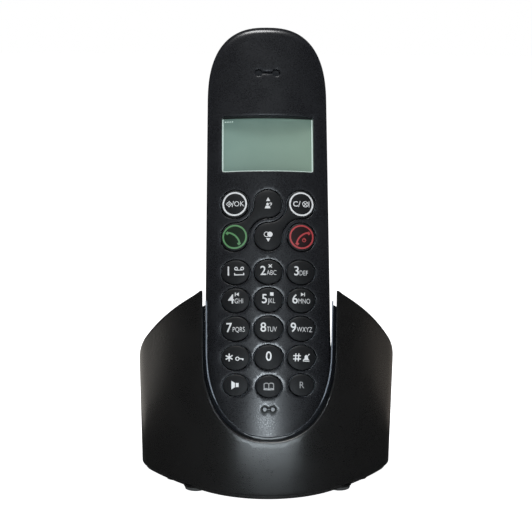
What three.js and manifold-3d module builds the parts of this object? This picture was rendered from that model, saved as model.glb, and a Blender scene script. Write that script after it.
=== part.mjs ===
// A cordless telephone handset standing in its desk charging base.
// Millimetres, +Z up, -Y is the side that faces the user.
// The origin is on the desk under the middle of the base.
import * as THREE from "three";
import { mergeVertices } from "three/addons/utils/BufferGeometryUtils.js";
import Module from "manifold-3d";

const wasm = await Module();
wasm.setup();

// ---- driving dimensions ----
const GAP = 0.3; // clearance between neighbouring pieces

// Base plan: a pointed-oval outline made of tangent arcs.
const BASE_DEPTH = 87;
const NOSE_RADIUS = 38;
const NOSE_END = 40; // degrees turned from the nose to the end of its arc
const FLANK_RADIUS = 112;
const FLANK_END = 57;
const FRONT_CORNER_RADIUS = 18;
const REAR_CORNER_RADIUS = 30;
const REAR_CORNER_END = 50; // degrees turned by the rear corner
const SHELL_WALL = 2.4;
const SHELL_BOTTOM = 3;

// Side profile of the shell's top edge: a long fall from the wing tips to a rear shelf.
const WING_TIP_Z = 77;
const WING_TIP_Y = -33.5;
const WIDEST_Z = 44.2; // height of the top edge at mid depth
const CREST_RADIUS = 230;
const SHELF_Z = 24;
const SHELF_FILLET = 16;

// U-shaped opening in the front of the shell.
const U_HALF_WIDTH = 24.2;
const U_BOTTOM_Z = 23.7;
const U_HEIGHT = 30;
const CHIN_POWER = 2.3; // exponents of the rounded ends: the U and the chin share one
const CROWN_POWER = 2.6;

const TRAY_INSET = 2;
const TRAY_BOTTOM = 1.5;
const TRAY_TOP = 2.7;
const FOOT_RADIUS = 4.2;
const FEET = {
  front_left: [-27, -24.3],
  front_right: [27, -24.3],
  rear_left: [-27, 28],
  rear_right: [27, 28],
};
const SCREWS = {
  front_left: [-35, -16.8],
  front_right: [35, -16.8],
  rear_left: [-39.3, 21.5],
  rear_right: [39.3, 21.5],
};
const SCREW_RADIUS = 1.3;
const SCREW_HEAD_RADIUS = 2.6;
const PAD_RADIUS = 4.6; // pads on the tray that the shell's screw bosses stand on
const PAD_TOP = 5.3;
const BOSS_RADIUS = 3.4;
const BOSS_TOP = 16;

const DECK_DROP = 3.5; // the liner's deck lies this far below the shell's edge
const DECK_THICKNESS = 2;
const TROUGH_CLEARANCE = 0.6;
const TROUGH_WALL = 2;
const LINER_FRONT_WALL = 1.3;
const LIP_STEP = 0.9; // the liner shows this far inside the shell's U
const LIP_BACK = -30; // y where that lip ends
const LINER_OPEN_FROM = -20; // y from which the trough has no front wall
// The backrest behind the handset, as side profiles (y, z) of its outside and of its hollow underside.
const BACKREST_HALF_WIDTH = 17;
const BACKREST = [[-12, 30], [13.5, 28.5], [9, 56], [7, 58], [0, 58]];
const BACKREST_HOLLOW = [[-5.4, 27], [11.4, 27], [7.2, 54], [4.4, 54]];

const BOARD_Z = 5.5;
const BOARD_THICKNESS = 1.6;
const STANDOFF_X = 26;
const STANDOFF_ROWS = [-4, 26];
const PAGE_BUTTON_RADIUS = 4;
const JACK_X = 18; // the telephone socket is on the right and the power socket on the left
const PORT_Z = 12.8; // height of both sockets and of the page button
const PORT_DEPTH = 20; // the openings for them are cut from here to the rear

// Handset: its own frame has x across, y into its depth from the face, z along its length.
const LEAN = THREE.MathUtils.degToRad(20);
const SEAT = [0, -38.2, 19]; // where the handset's face line meets its lower end
const LENGTH = 163.8;
const THICKNESS = 25.5;
const CHIN_HALF_WIDTH = 23.7;
const CHIN_HEIGHT = 24;
const CROWN_HALF_WIDTH = 23;
const CROWN_HEIGHT = 31;
const CASE_WALL = 1.8;
const PARTING = 12; // depth of the seam between the two case halves
const FACE_RADIUS = 72; // the face is crowned across its width
const FRONT_ROUND = { deep: 8, wide: 4.5 };
const BACK_ROUND = { deep: 9, wide: 6 };

const WINDOW = { low: 105, high: 126.9, halfWidth: 17.45 };
const PANEL = { halfWidth: 18.2, front: 4.5, back: 6.1 };
const EARPIECE_Z = 143.7;
const MICROPHONE_Z = 15.1;
const LOUDSPEAKER_Z = 122;

const KEY_PROUD = 0.8;
const KEY_GAP = 0.35;
const KEY_FLANGE = 0.6;
const FLANGE_FRONT = 4.5;
const FLANGE_BACK = 5.2;
const PLUNGER_FRONT = 6.3;
const MAT_FRONT = 6.9;
const MAT_BACK = 7.7;
const PCB_FRONT = 8;
const PCB_BACK = 9.2;

const NAV_RADIUS = 5.3;
const NAV_WEB = 1; // width of the case web between two neighbouring openings
const NAV_COLUMN = 12.57;
const NAV_ROWS = [92.3, 79.7];
const DIGIT_COLUMN = 12.25;
const DIGIT_ROWS = [66.3, 55.7, 45.05, 34.25];
const DIGIT_SIZE = [10.7, 9.1];
const LAST_ROW = 24.1;
const LAST_ROW_DIP = 0.6; // the middle key of the last row sits a little lower
const LAST_SIZE = [9.6, 8.1];
const DIGIT_NAMES = [
  ["1", "2", "3"],
  ["4", "5", "6"],
  ["7", "8", "9"],
  ["star", "0", "hash"],
];

const CELL_RADIUS = 5.25;
const CELL_LENGTH = 44.5;
const CELL_X = 5.7;
const CELL_DEPTH = 17.6;
const POCKET = { halfWidth: 12, low: 57, high: 106, floor: 12, skin: 1.2 };
const DOOR = { halfWidth: 14.5, low: 54.2, high: 108.8, front: 23.9 };
const LEDGE = { halfWidth: 16.5, overlap: 2, thickness: 1.9 }; // what the door lies on
const CASE_SCREW = { x: 16.2, z: 141, boss: 2.8, hole: 1.4, counterbore: 2.5, post: 3.4, head: 20.8 };
const STRIP_X = 11;
const STRIP = { halfWidth: 2, low: 12.8, high: 21.2 };

// ---- materials ----
function finish(color, roughness, metalness = 0) {
  return new THREE.MeshStandardMaterial({ color, roughness, metalness });
}
const casePlastic = finish(0x232426, 0.55);
const linerPlastic = finish(0x1a1b1d, 0.45);
const keyPlastic = finish(0x222426, 0.5);
const rubber = finish(0x161616, 0.9);
const silicone = finish(0x8d9296, 0.8);
const lens = finish(0x9fb0a6, 0.1);
const lcdGlass = finish(0x7f9388, 0.35);
const diffuser = finish(0xdfe6e2, 0.6);
const board = finish(0x1f5a35, 0.6);
const steel = finish(0xb9bcc0, 0.3, 1);
const brass = finish(0xc9a457, 0.35, 1);
const socketPlastic = finish(0x2b2b2d, 0.5);
const speakerCone = finish(0x303134, 0.7);
const cellWrap = finish(0x2f6e8f, 0.4);

// ---- shapes ----
const radians = THREE.MathUtils.degToRad;

// Points on an arc, from one angle to another in degrees, both ends included.
function arc(cx, cy, radius, from, to, steps) {
  const points = [];
  for (let i = 0; i <= steps; i++) {
    const angle = radians(from + ((to - from) * i) / steps);
    points.push(new THREE.Vector2(cx + radius * Math.cos(angle), cy + radius * Math.sin(angle)));
  }
  return points;
}

const profile = (pairs) => pairs.map(([a, b]) => new THREE.Vector2(a, b));
const rectangle = (x0, y0, x1, y1) => profile([[x0, y0], [x1, y0], [x1, y1], [x0, y1]]);

function roundedRectangle(x0, y0, x1, y1, radius, steps = 4) {
  return [
    ...arc(x1 - radius, y0 + radius, radius, -90, 0, steps),
    ...arc(x1 - radius, y1 - radius, radius, 0, 90, steps),
    ...arc(x0 + radius, y1 - radius, radius, 90, 180, steps),
    ...arc(x0 + radius, y0 + radius, radius, 180, 270, steps),
  ];
}

function ellipse(cx, cy, width, height, steps = 14) {
  const points = [];
  for (let i = 0; i < steps; i++) {
    const angle = (2 * Math.PI * i) / steps;
    points.push(new THREE.Vector2(cx + (width / 2) * Math.cos(angle), cy + (height / 2) * Math.sin(angle)));
  }
  return points;
}

// Half of a superellipse with its straight side at baseY: direction 1 bulges up, -1 down.
function roundedEnd(halfWidth, height, baseY, direction, power = CHIN_POWER, steps = 12) {
  const points = [];
  for (let i = 0; i <= steps; i++) {
    const angle = (Math.PI * i) / steps;
    const across = Math.cos(angle);
    const x = halfWidth * Math.sign(across) * Math.abs(across) ** (2 / power);
    const y = height * Math.sin(angle) ** (2 / power);
    points.push(new THREE.Vector2(direction * x, baseY + direction * y));
  }
  return points;
}

// The base's outline seen from above, every arc drawn inwards by inset.
function basePlan(inset) {
  const nose = new THREE.Vector2(0, NOSE_RADIUS - BASE_DEPTH / 2);
  const flankShift = NOSE_RADIUS - FLANK_RADIUS;
  const flankX = flankShift * Math.sin(radians(NOSE_END));
  const flankY = nose.y - flankShift * Math.cos(radians(NOSE_END));
  const cornerShift = FLANK_RADIUS - FRONT_CORNER_RADIUS;
  const cornerX = flankX + cornerShift * Math.sin(radians(FLANK_END));
  const cornerY = flankY - cornerShift * Math.cos(radians(FLANK_END));
  const rearX = cornerX + FRONT_CORNER_RADIUS - REAR_CORNER_RADIUS;
  const backRadius = REAR_CORNER_RADIUS + rearX / Math.cos(radians(REAR_CORNER_END));
  const backY = BASE_DEPTH / 2 - backRadius;
  const rearY = backY + (backRadius - REAR_CORNER_RADIUS) * Math.sin(radians(REAR_CORNER_END));
  const right = [
    ...arc(0, nose.y, NOSE_RADIUS - inset, -90, NOSE_END - 90, 8),
    ...arc(flankX, flankY, FLANK_RADIUS - inset, NOSE_END - 90, FLANK_END - 90, 3).slice(1),
    ...arc(cornerX, cornerY, FRONT_CORNER_RADIUS - inset, FLANK_END - 90, 0, 4).slice(1),
    ...arc(rearX, rearY, REAR_CORNER_RADIUS - inset, 0, REAR_CORNER_END, 5),
    ...arc(0, backY, backRadius - inset, REAR_CORNER_END, 90, 5).slice(1),
  ];
  const left = right.slice(1, -1).reverse().map((p) => new THREE.Vector2(-p.x, p.y));
  return [...right, ...left];
}

// The handset's outline seen from its face, drawn inwards by inset.
function handsetOutline(inset) {
  return [
    ...roundedEnd(CROWN_HALF_WIDTH - inset, CROWN_HEIGHT - inset, LENGTH - CROWN_HEIGHT, 1, CROWN_POWER),
    ...roundedEnd(CHIN_HALF_WIDTH - inset, CHIN_HEIGHT - inset, CHIN_HEIGHT, -1),
  ];
}

// A U open at the top: a rounded end below two straight sides.
function uOutline(halfWidth, bottom, height, top) {
  const end = roundedEnd(halfWidth, height, bottom + height, -1);
  return [...end, new THREE.Vector2(halfWidth, top), new THREE.Vector2(-halfWidth, top)];
}

// The side profile (y, z) of the shell's top edge, lowered by drop.
function topEdge(drop) {
  const chord = new THREE.Vector2(-WING_TIP_Y, WIDEST_Z - WING_TIP_Z);
  const half = chord.length() / 2;
  const away = Math.sqrt(CREST_RADIUS ** 2 - half ** 2);
  const normal = new THREE.Vector2(chord.y, -chord.x).normalize();
  const middle = new THREE.Vector2(WING_TIP_Y, WING_TIP_Z).addScaledVector(chord, 0.5);
  const centre = middle.addScaledVector(normal, away);
  const angleAt = (y, z) => THREE.MathUtils.radToDeg(Math.atan2(z - centre.y, y - centre.x));
  const start = angleAt(WING_TIP_Y, WING_TIP_Z) + 3;
  const end = angleAt(0, WIDEST_Z);
  const slope = 90 - end; // how far the edge has turned down at mid depth
  const run = new THREE.Vector2(Math.cos(radians(-slope)), Math.sin(radians(-slope)));
  const filletRun = SHELF_FILLET * Math.tan(radians(slope / 2));
  const straight = (WIDEST_Z - SHELF_Z) / -run.y - filletRun;
  const filletX = run.x * (straight + filletRun) + filletRun;
  return [
    ...arc(centre.x, centre.y, CREST_RADIUS, start, end, 6),
    ...arc(filletX, SHELF_Z + SHELF_FILLET, SHELF_FILLET, -90 - slope, -90, 5),
    new THREE.Vector2(BASE_DEPTH, SHELF_Z),
  ].map((p) => new THREE.Vector2(p.x, p.y - drop));
}

// ---- solids ----
function solid(geometry) {
  const bare = geometry.index ? geometry.toNonIndexed() : geometry.clone();
  bare.deleteAttribute("normal");
  bare.deleteAttribute("uv");
  const merged = mergeVertices(bare, 1e-4);
  const vertProperties = merged.attributes.position.array;
  const triVerts = new Uint32Array(merged.index.array);
  return new wasm.Manifold(new wasm.Mesh({ numProp: 3, vertProperties, triVerts }));
}

function extrusion(points, depth, bevel) {
  const options = { depth, bevelEnabled: false, steps: 1 };
  if (bevel) {
    Object.assign(options, {
      depth: depth - 2 * bevel.deep,
      bevelEnabled: true,
      bevelThickness: bevel.deep,
      bevelSize: bevel.wide,
      bevelOffset: -bevel.wide,
      bevelSegments: bevel.segments ?? 4,
    });
  }
  const geometry = new THREE.ExtrudeGeometry(new THREE.Shape(points), options);
  if (bevel) geometry.translate(0, 0, bevel.deep);
  return geometry;
}

// A plan outline (x, y) raised from one height to another.
function prism(points, low, high) {
  return solid(extrusion(points, high - low).translate(0, 0, low));
}

// A front-view outline (x, z) given depth along y.
function slab(points, front, back, bevel) {
  return solid(extrusion(points, back - front, bevel).rotateX(Math.PI / 2).translate(0, back, 0));
}

// A side profile (y, z) stretched across x.
function beam(points, left, right) {
  const geometry = extrusion(points, right - left).translate(0, 0, left);
  return solid(geometry.rotateX(Math.PI / 2).rotateZ(Math.PI / 2));
}

function box(x0, y0, z0, x1, y1, z1) {
  const geometry = new THREE.BoxGeometry(x1 - x0, y1 - y0, z1 - z0);
  return solid(geometry.translate((x0 + x1) / 2, (y0 + y1) / 2, (z0 + z1) / 2));
}

// A round bar along one axis, "y" or "z", between two positions on it.
function bar(axis, a, b, radius, from, to, sides = 12) {
  const geometry = new THREE.CylinderGeometry(radius, radius, to - from, sides);
  if (axis === "z") geometry.rotateX(Math.PI / 2).translate(a, b, (from + to) / 2);
  else geometry.translate(a, (from + to) / 2, b);
  return solid(geometry);
}

// A turned piece: its points are (radius, height) along z.
function turned(pairs, sides = 16) {
  return solid(new THREE.LatheGeometry(profile(pairs), sides).rotateX(Math.PI / 2));
}

const movedTo = (shape, x, y, z) => solid(surface(shape).translate(x, y, z));

// A piece turned about z, laid down so that its low end faces +y.
const laidBack = (shape) => solid(surface(shape).rotateX(Math.PI / 2));

const union = (first, ...rest) => rest.reduce((whole, piece) => whole.add(piece), first);
const cut = (first, ...rest) => rest.reduce((whole, piece) => whole.subtract(piece), first);

// A solid's surface as three.js geometry.
function surface(shape) {
  const made = shape.getMesh();
  const geometry = new THREE.BufferGeometry();
  geometry.setAttribute("position", new THREE.BufferAttribute(new Float32Array(made.vertProperties), 3));
  geometry.setIndex(new THREE.BufferAttribute(new Uint32Array(made.triVerts), 1));
  return geometry;
}

function node(name, shape, material) {
  const geometry = surface(shape);
  geometry.computeVertexNormals();
  const mesh = new THREE.Mesh(geometry, material);
  mesh.name = name;
  return mesh;
}

// Everything above the shell's top edge, lowered by drop.
function airAbove(drop) {
  const ceiling = 2 * LENGTH;
  const edge = topEdge(drop);
  const outline = [
    ...edge,
    new THREE.Vector2(BASE_DEPTH, ceiling),
    new THREE.Vector2(-BASE_DEPTH, ceiling),
    new THREE.Vector2(-BASE_DEPTH, edge[0].y),
  ];
  return beam(outline.reverse(), -BASE_DEPTH, BASE_DEPTH);
}

// ---- base ----
function baseShell() {
  const walls = cut(
    prism(basePlan(0), SHELL_BOTTOM, LENGTH),
    prism(basePlan(SHELL_WALL), 0, LENGTH + 1),
    airAbove(0),
    slab(uOutline(U_HALF_WIDTH, U_BOTTOM_Z, U_HEIGHT, LENGTH), -BASE_DEPTH, WING_TIP_Y / 2),
    box(JACK_X - 5.6, PORT_DEPTH, PORT_Z - 4.4, JACK_X + 5.6, BASE_DEPTH, PORT_Z + 4.4),
    bar("y", -JACK_X, PORT_Z, 4.2, PORT_DEPTH, BASE_DEPTH),
    bar("y", 0, PORT_Z, PAGE_BUTTON_RADIUS + GAP, PORT_DEPTH, BASE_DEPTH),
  );
  const bosses = screwBars(BOSS_RADIUS, PAD_TOP + GAP, BOSS_TOP);
  return cut(union(walls, ...bosses), ...screwBars(SCREW_RADIUS + GAP, 0, BOSS_TOP - 2));
}

// A bar standing at each of the base's screws.
function screwBars(radius, low, high) {
  return Object.values(SCREWS).map(([x, y]) => bar("z", x, y, radius, low, high));
}

function baseTray() {
  const floor = prism(basePlan(TRAY_INSET), TRAY_BOTTOM, TRAY_TOP);
  const inner = basePlan(SHELL_WALL + GAP);
  const lip = cut(
    prism(inner, TRAY_BOTTOM, TRAY_TOP + 2.8),
    prism(basePlan(SHELL_WALL + GAP + 1.2), 0, LENGTH),
    ...screwBars(BOSS_RADIUS + GAP, TRAY_TOP, LENGTH),
  );
  const pads = screwBars(PAD_RADIUS, TRAY_BOTTOM, PAD_TOP).map((pad) =>
    pad.intersect(prism(inner, 0, LENGTH)),
  );
  const standoffs = STANDOFF_ROWS.flatMap((y) =>
    [-STANDOFF_X, STANDOFF_X].map((x) => bar("z", x, y, 2, TRAY_BOTTOM, BOARD_Z - GAP, 10)),
  );
  const footSeats = Object.values(FEET).map(([x, y]) =>
    bar("z", x, y, FOOT_RADIUS + GAP, 0, TRAY_BOTTOM + 0.6, 16),
  );
  return cut(
    union(floor, lip, ...pads, ...standoffs),
    ...screwBars(SCREW_HEAD_RADIUS + 0.4, 0, TRAY_BOTTOM + 1.8),
    ...screwBars(SCREW_RADIUS + 0.4, 0, PAD_TOP + 1),
    ...footSeats,
  );
}

// Space swept by the handset in the cradle, grown sideways by clearance; in the handset's frame.
function handsetWay(clearance, back) {
  const top = LENGTH * 1.5;
  const outline = [
    ...roundedEnd(CHIN_HALF_WIDTH + clearance, CHIN_HEIGHT + clearance, CHIN_HEIGHT, -1),
    new THREE.Vector2(CHIN_HALF_WIDTH + clearance, top),
    new THREE.Vector2(-CHIN_HALF_WIDTH - clearance, top),
  ];
  return slab(outline, -THICKNESS, back);
}

// Outline of a charging strip's place, grown by grow; in the handset's frame.
function stripOutline(x, grow) {
  const reach = STRIP.halfWidth + grow;
  return rectangle(x - reach, STRIP.low - grow, x + reach, STRIP.high + grow);
}

function intoBaseFrame(shape) {
  const matrix = new THREE.Matrix4().makeRotationX(-LEAN).setPosition(...SEAT);
  return solid(surface(shape).applyMatrix4(matrix));
}

function cradleLiner() {
  const inner = prism(basePlan(SHELL_WALL + GAP), TRAY_TOP + GAP, LENGTH);
  const troughBack = THICKNESS + 0.5;
  const outerWay = intoBaseFrame(handsetWay(TROUGH_CLEARANCE + TROUGH_WALL, troughBack + TROUGH_WALL));
  const innerWay = intoBaseFrame(handsetWay(TROUGH_CLEARANCE, troughBack));
  const behindFront = prism(basePlan(SHELL_WALL + GAP + LINER_FRONT_WALL), 0, LENGTH);
  const wholeWidth = (y0, y1) => beam(rectangle(y0, 0, y1, 2 * LENGTH), -BASE_DEPTH, BASE_DEPTH);
  const deck = cut(inner, airAbove(DECK_DROP)).subtract(cut(inner, airAbove(DECK_DROP + DECK_THICKNESS)));
  const trough = cut(outerWay.intersect(inner), airAbove(DECK_DROP));
  const backrest = beam(profile(BACKREST), -BACKREST_HALF_WIDTH, BACKREST_HALF_WIDTH);
  const backrestHollow = beam(profile(BACKREST_HOLLOW), 2 - BACKREST_HALF_WIDTH, BACKREST_HALF_WIDTH - 2);
  const slots = [-STRIP_X, STRIP_X].map((x) =>
    intoBaseFrame(slab(stripOutline(x, 0.4), troughBack - 1, troughBack + 3 * TROUGH_WALL)),
  );
  return cut(
    union(deck, trough, backrest),
    backrestHollow,
    intoBaseFrame(caseBlock(-0.5, FRONT_ROUND)),
    innerWay.intersect(behindFront),
    innerWay.intersect(wholeWidth(LINER_OPEN_FROM, BASE_DEPTH)),
    slab(uOutline(U_HALF_WIDTH - LIP_STEP, U_BOTTOM_Z + LIP_STEP, U_HEIGHT, LENGTH), -BASE_DEPTH, LIP_BACK),
    ...slots,
  );
}

function rubberFoot([x, y]) {
  const top = TRAY_BOTTOM + 0.3;
  const outline = [[0, 0], [FOOT_RADIUS - 0.5, 0], [FOOT_RADIUS, 0.5], [FOOT_RADIUS, top], [0, top]];
  return movedTo(turned(outline), x, y, 0);
}

// A pan-head screw along z with its head at the bottom.
function baseScrew([x, y]) {
  const headLow = TRAY_BOTTOM + 0.2;
  const headHigh = TRAY_BOTTOM + 1.5;
  const outline = [
    [0, headLow],
    [SCREW_HEAD_RADIUS - 0.4, headLow],
    [SCREW_HEAD_RADIUS, headLow + 0.5],
    [SCREW_HEAD_RADIUS, headHigh],
    [SCREW_RADIUS, headHigh],
    [SCREW_RADIUS, 12],
    [0, 13],
  ];
  return movedTo(cut(turned(outline, 10), ...crossSlot(1.6, headLow + 0.7)), x, y, 0);
}

// The cross cut into a screw's head from below, up to a height.
function crossSlot(reach, top) {
  const half = 0.25;
  return [box(-reach, -half, -1, reach, half, top), box(-half, -reach, -1, half, reach, top)];
}

// The board's rear edge follows the shell.
function baseCircuitBoard() {
  const blank = prism(basePlan(5.5), BOARD_Z, BOARD_Z + BOARD_THICKNESS);
  return blank.intersect(box(-STANDOFF_X - 5, -8, 0, STANDOFF_X + 5, BASE_DEPTH, LENGTH));
}
const componentZ = BOARD_Z + BOARD_THICKNESS + GAP;

// Six-position telephone socket with its key slot, open to the rear.
function lineJack() {
  const body = box(JACK_X - 6.5, 22, componentZ, JACK_X + 6.5, 35, componentZ + 10.8);
  const mouth = box(JACK_X - 4.9, 25, PORT_Z - 3.2, JACK_X + 4.9, 40, PORT_Z + 3.2);
  const key = box(JACK_X - 1.7, 25, PORT_Z - 4.4, JACK_X + 1.7, 40, PORT_Z);
  return cut(body, mouth, key);
}

// Barrel power socket with its centre pin, open to the rear.
function powerJack() {
  const body = box(-JACK_X - 4.6, 23, componentZ, -JACK_X + 4.6, 35, componentZ + 10);
  const barrel = bar("y", -JACK_X, PORT_Z, 2.9, 25.5, 40);
  const pin = bar("y", -JACK_X, PORT_Z, 1, 24, 34.5, 10);
  return cut(body, barrel).add(pin);
}

const pageSwitch = () =>
  union(box(-3, 33, componentZ, 3, 36.2, componentZ + 7.4), bar("y", 0, PORT_Z, 1.5, 36, 36.8, 10));

function pageButton() {
  const face = BASE_DEPTH / 2 - 0.3;
  const width = 2 * PAGE_BUTTON_RADIUS;
  return union(
    slab(ellipse(0, PORT_Z, width, width, 16), face - 3.2, face, { deep: 0.4, wide: 0.4, segments: 1 }),
    bar("y", 0, PORT_Z, 5, face - 4, face - 2.6),
    bar("y", 0, PORT_Z, 1.5, face - 5.1, face - 3.6, 10),
  );
}

// A flat inverted-F aerial cut from sheet, in the plane across and up.
function aerial(left, low, width, height, front) {
  const top = low + height;
  return slab(
    profile([
      [left, low],
      [left + 2, low],
      [left + 2, top - 2],
      [left + 6, top - 2],
      [left + 6, low],
      [left + 8, low],
      [left + 8, top - 2],
      [left + width, top - 2],
      [left + width, top],
      [left, top],
    ]),
    front,
    front + 0.5,
  );
}

// A sprung contact that pokes through the trough's back wall; in the handset's frame.
function chargeContact(x) {
  const nose = THICKNESS + 0.3;
  const behindWall = THICKNESS + 0.5 + TROUGH_WALL + 0.4;
  return union(
    slab(stripOutline(x, 0), nose, behindWall + 1, { deep: 0.5, wide: 0.5, segments: 2 }),
    slab(stripOutline(x, 1.2), behindWall, behindWall + 0.8),
  );
}

// ---- handset ----
function caseBlock(inset, round) {
  const bevel = { deep: round.deep - inset / 2, wide: round.wide - inset / 2, segments: 4 };
  return slab(handsetOutline(inset), inset, THICKNESS - inset, bevel);
}

// Everything behind the crowned face, moved inwards by inset.
function behindFace(inset) {
  const crown = arc(0, FACE_RADIUS + inset, FACE_RADIUS, -110, -70, 12);
  const edge = crown[0].x;
  return prism([...crown, ...profile([[-edge, THICKNESS + 1], [edge, THICKNESS + 1]])], -1, LENGTH + 1);
}

// All depths between two planes, as wide and long as the handset.
function depthRange(front, back) {
  return box(-CHIN_HALF_WIDTH - 1, front, -1, CHIN_HALF_WIDTH + 1, back, LENGTH + 1);
}

// A bar lying in depth at each of the two case screws.
function caseScrewBars(radius, front, back) {
  return [-CASE_SCREW.x, CASE_SCREW.x].map((x) => bar("y", x, CASE_SCREW.z, radius, front, back));
}

// A low slot through the front skin, for sound.
function soundSlot(z, halfWidth, halfHeight) {
  const corner = halfHeight - 0.05;
  const outline = roundedRectangle(-halfWidth, z - halfHeight, halfWidth, z + halfHeight, corner, 3);
  return slab(outline, -1, CASE_WALL + 0.2);
}

function frontCase(keys) {
  const inside = caseBlock(CASE_WALL, FRONT_ROUND).intersect(behindFace(CASE_WALL));
  const skin = cut(caseBlock(0, FRONT_ROUND), inside).intersect(depthRange(-1, PARTING));
  const window = roundedRectangle(-WINDOW.halfWidth, WINDOW.low, WINDOW.halfWidth, WINDOW.high, 1, 3);
  return cut(
    union(skin, ...caseScrewBars(CASE_SCREW.boss, 1, PARTING)).intersect(behindFace(0)),
    ...caseScrewBars(CASE_SCREW.hole, 4, PARTING + 1),
    slab(window, -1, PANEL.front),
    soundSlot(EARPIECE_Z, 5.2, 1.1),
    soundSlot(MICROPHONE_Z, 2.5, 0.6),
    ...keys.map((key) => key.outline(KEY_GAP, -1, FLANGE_FRONT)),
  );
}

function backCase() {
  const skin = cut(caseBlock(0, BACK_ROUND), caseBlock(CASE_WALL, BACK_ROUND));
  const shellHalf = skin.intersect(depthRange(PARTING + GAP, THICKNESS + 1));
  const grille = [-2, -1, 0, 1, 2].map((row) => {
    const z = LOUDSPEAKER_Z + row * 2.4;
    return slab(roundedRectangle(-6, z - 0.6, 6, z + 0.6, 0.55, 2), THICKNESS - 3, THICKNESS + 1);
  });
  const screwPosts = caseScrewBars(CASE_SCREW.post, PARTING + GAP, THICKNESS).map((post) =>
    post.intersect(caseBlock(CASE_WALL / 2, BACK_ROUND)),
  );
  const stripSeats = [-STRIP_X, STRIP_X].map((x) => slab(stripOutline(x, GAP), THICKNESS - 1, THICKNESS + 1));
  return cut(
    union(shellHalf, pocketBlock(POCKET.skin, THICKNESS - 1), doorLedge(), ...screwPosts),
    pocketBlock(0, THICKNESS + 1),
    doorBlock(GAP, DOOR.front - GAP, THICKNESS + 1),
    ...grille,
    ...caseScrewBars(CASE_SCREW.counterbore, CASE_SCREW.head - 2, THICKNESS + 1),
    ...caseScrewBars(CASE_SCREW.hole, PARTING, THICKNESS),
    ...stripSeats,
  );
}

// The battery pocket as a block, grown by grow.
function pocketBlock(grow, back) {
  const reach = POCKET.halfWidth + grow;
  return box(-reach, POCKET.floor - grow, POCKET.low - grow, reach, back, POCKET.high + grow);
}

function doorLedge() {
  const { halfWidth, overlap, thickness } = LEDGE;
  const front = DOOR.front - thickness;
  return box(-halfWidth, front, DOOR.low - overlap, halfWidth, THICKNESS - 1, DOOR.high + overlap);
}

function doorBlock(grow, front, back) {
  const reach = DOOR.halfWidth + grow;
  return slab(roundedRectangle(-reach, DOOR.low - grow, reach, DOOR.high + grow, 3), front, back);
}

function displayLens() {
  const reach = WINDOW.halfWidth - GAP;
  const outline = roundedRectangle(-reach, WINDOW.low + GAP, reach, WINDOW.high - GAP, 0.9, 3);
  return cut(slab(outline, 0, PANEL.front).intersect(behindFace(0.5)), behindFace(1.5));
}

// A flat sheet behind the window.
function behindWindow(halfWidth, front, back) {
  return slab(rectangle(-halfWidth, WINDOW.low - 2, halfWidth, WINDOW.high + 2), front, back);
}

const displayPanel = () => behindWindow(PANEL.halfWidth, PANEL.front, PANEL.back);
const displayBacklight = () => behindWindow(PANEL.halfWidth, PANEL.back + GAP, PCB_FRONT - 0.4);
const handsetBoard = () => slab(roundedRectangle(-18.5, 10, 18.5, 134, 9), PCB_FRONT, PCB_BACK);

// A key: outline(grow, front, back) is its face outline as a solid, grown sideways.
function ovalKey(name, x, z, [width, height]) {
  const outline = (grow, front, back, bevel) =>
    slab(ellipse(x, z, width + 2 * grow, height + 2 * grow), front, back, bevel);
  return { name, outline, centres: [[x, z]] };
}

// Two round keys at opposite corners of the navigation square, joined by a waisted bridge.
function pairKey(name, highX, lowX) {
  const [highZ, lowZ] = NAV_ROWS;
  const outline = (grow, front, back, bevel) => {
    const radius = NAV_RADIUS + grow;
    const keepOut = NAV_RADIUS + NAV_WEB + 2 * KEY_GAP - grow;
    const lobe = (x, z) => slab(ellipse(x, z, 2 * radius, 2 * radius, 16), front, back, bevel);
    const bridge = cut(
      slab(rectangle(Math.min(highX, lowX), lowZ, Math.max(highX, lowX), highZ), front, back, bevel),
      bar("y", lowX, highZ, keepOut, front - 1, back + 1, 24),
      bar("y", highX, lowZ, keepOut, front - 1, back + 1, 24),
    );
    return union(lobe(highX, highZ), lobe(lowX, lowZ), bridge);
  };
  return { name, outline, centres: [[highX, highZ], [lowX, lowZ]] };
}

function keypad() {
  const round = [2 * NAV_RADIUS, 2 * NAV_RADIUS];
  const keys = [
    ovalKey("key_ok", -NAV_COLUMN, NAV_ROWS[0], round),
    ovalKey("key_end_call", NAV_COLUMN, NAV_ROWS[1], round),
    pairKey("key_up_and_talk", 0, -NAV_COLUMN),
    pairKey("key_clear_and_down", NAV_COLUMN, 0),
    ovalKey("key_speaker", -DIGIT_COLUMN, LAST_ROW, LAST_SIZE),
    ovalKey("key_phonebook", 0, LAST_ROW - LAST_ROW_DIP, LAST_SIZE),
    ovalKey("key_recall", DIGIT_COLUMN, LAST_ROW, LAST_SIZE),
  ];
  DIGIT_NAMES.forEach((names, row) =>
    names.forEach((label, column) => {
      keys.push(ovalKey("key_" + label, (column - 1) * DIGIT_COLUMN, DIGIT_ROWS[row], DIGIT_SIZE));
    }),
  );
  return keys;
}

const keyCap = (key) =>
  union(
    key.outline(0, -KEY_PROUD, FLANGE_BACK - 0.3).intersect(behindFace(-KEY_PROUD)),
    key.outline(KEY_FLANGE, FLANGE_FRONT, FLANGE_BACK),
  );

function keyMat(keys) {
  const sheet = slab(roundedRectangle(-18.8, 18.6, 18.8, 99.5, 3), MAT_FRONT, MAT_BACK);
  const plungers = keys.flatMap((key) =>
    key.centres.map(([x, z]) => bar("y", x, z, 2, PLUNGER_FRONT, MAT_FRONT + 0.5, 6)),
  );
  return union(sheet, ...plungers);
}

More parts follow.
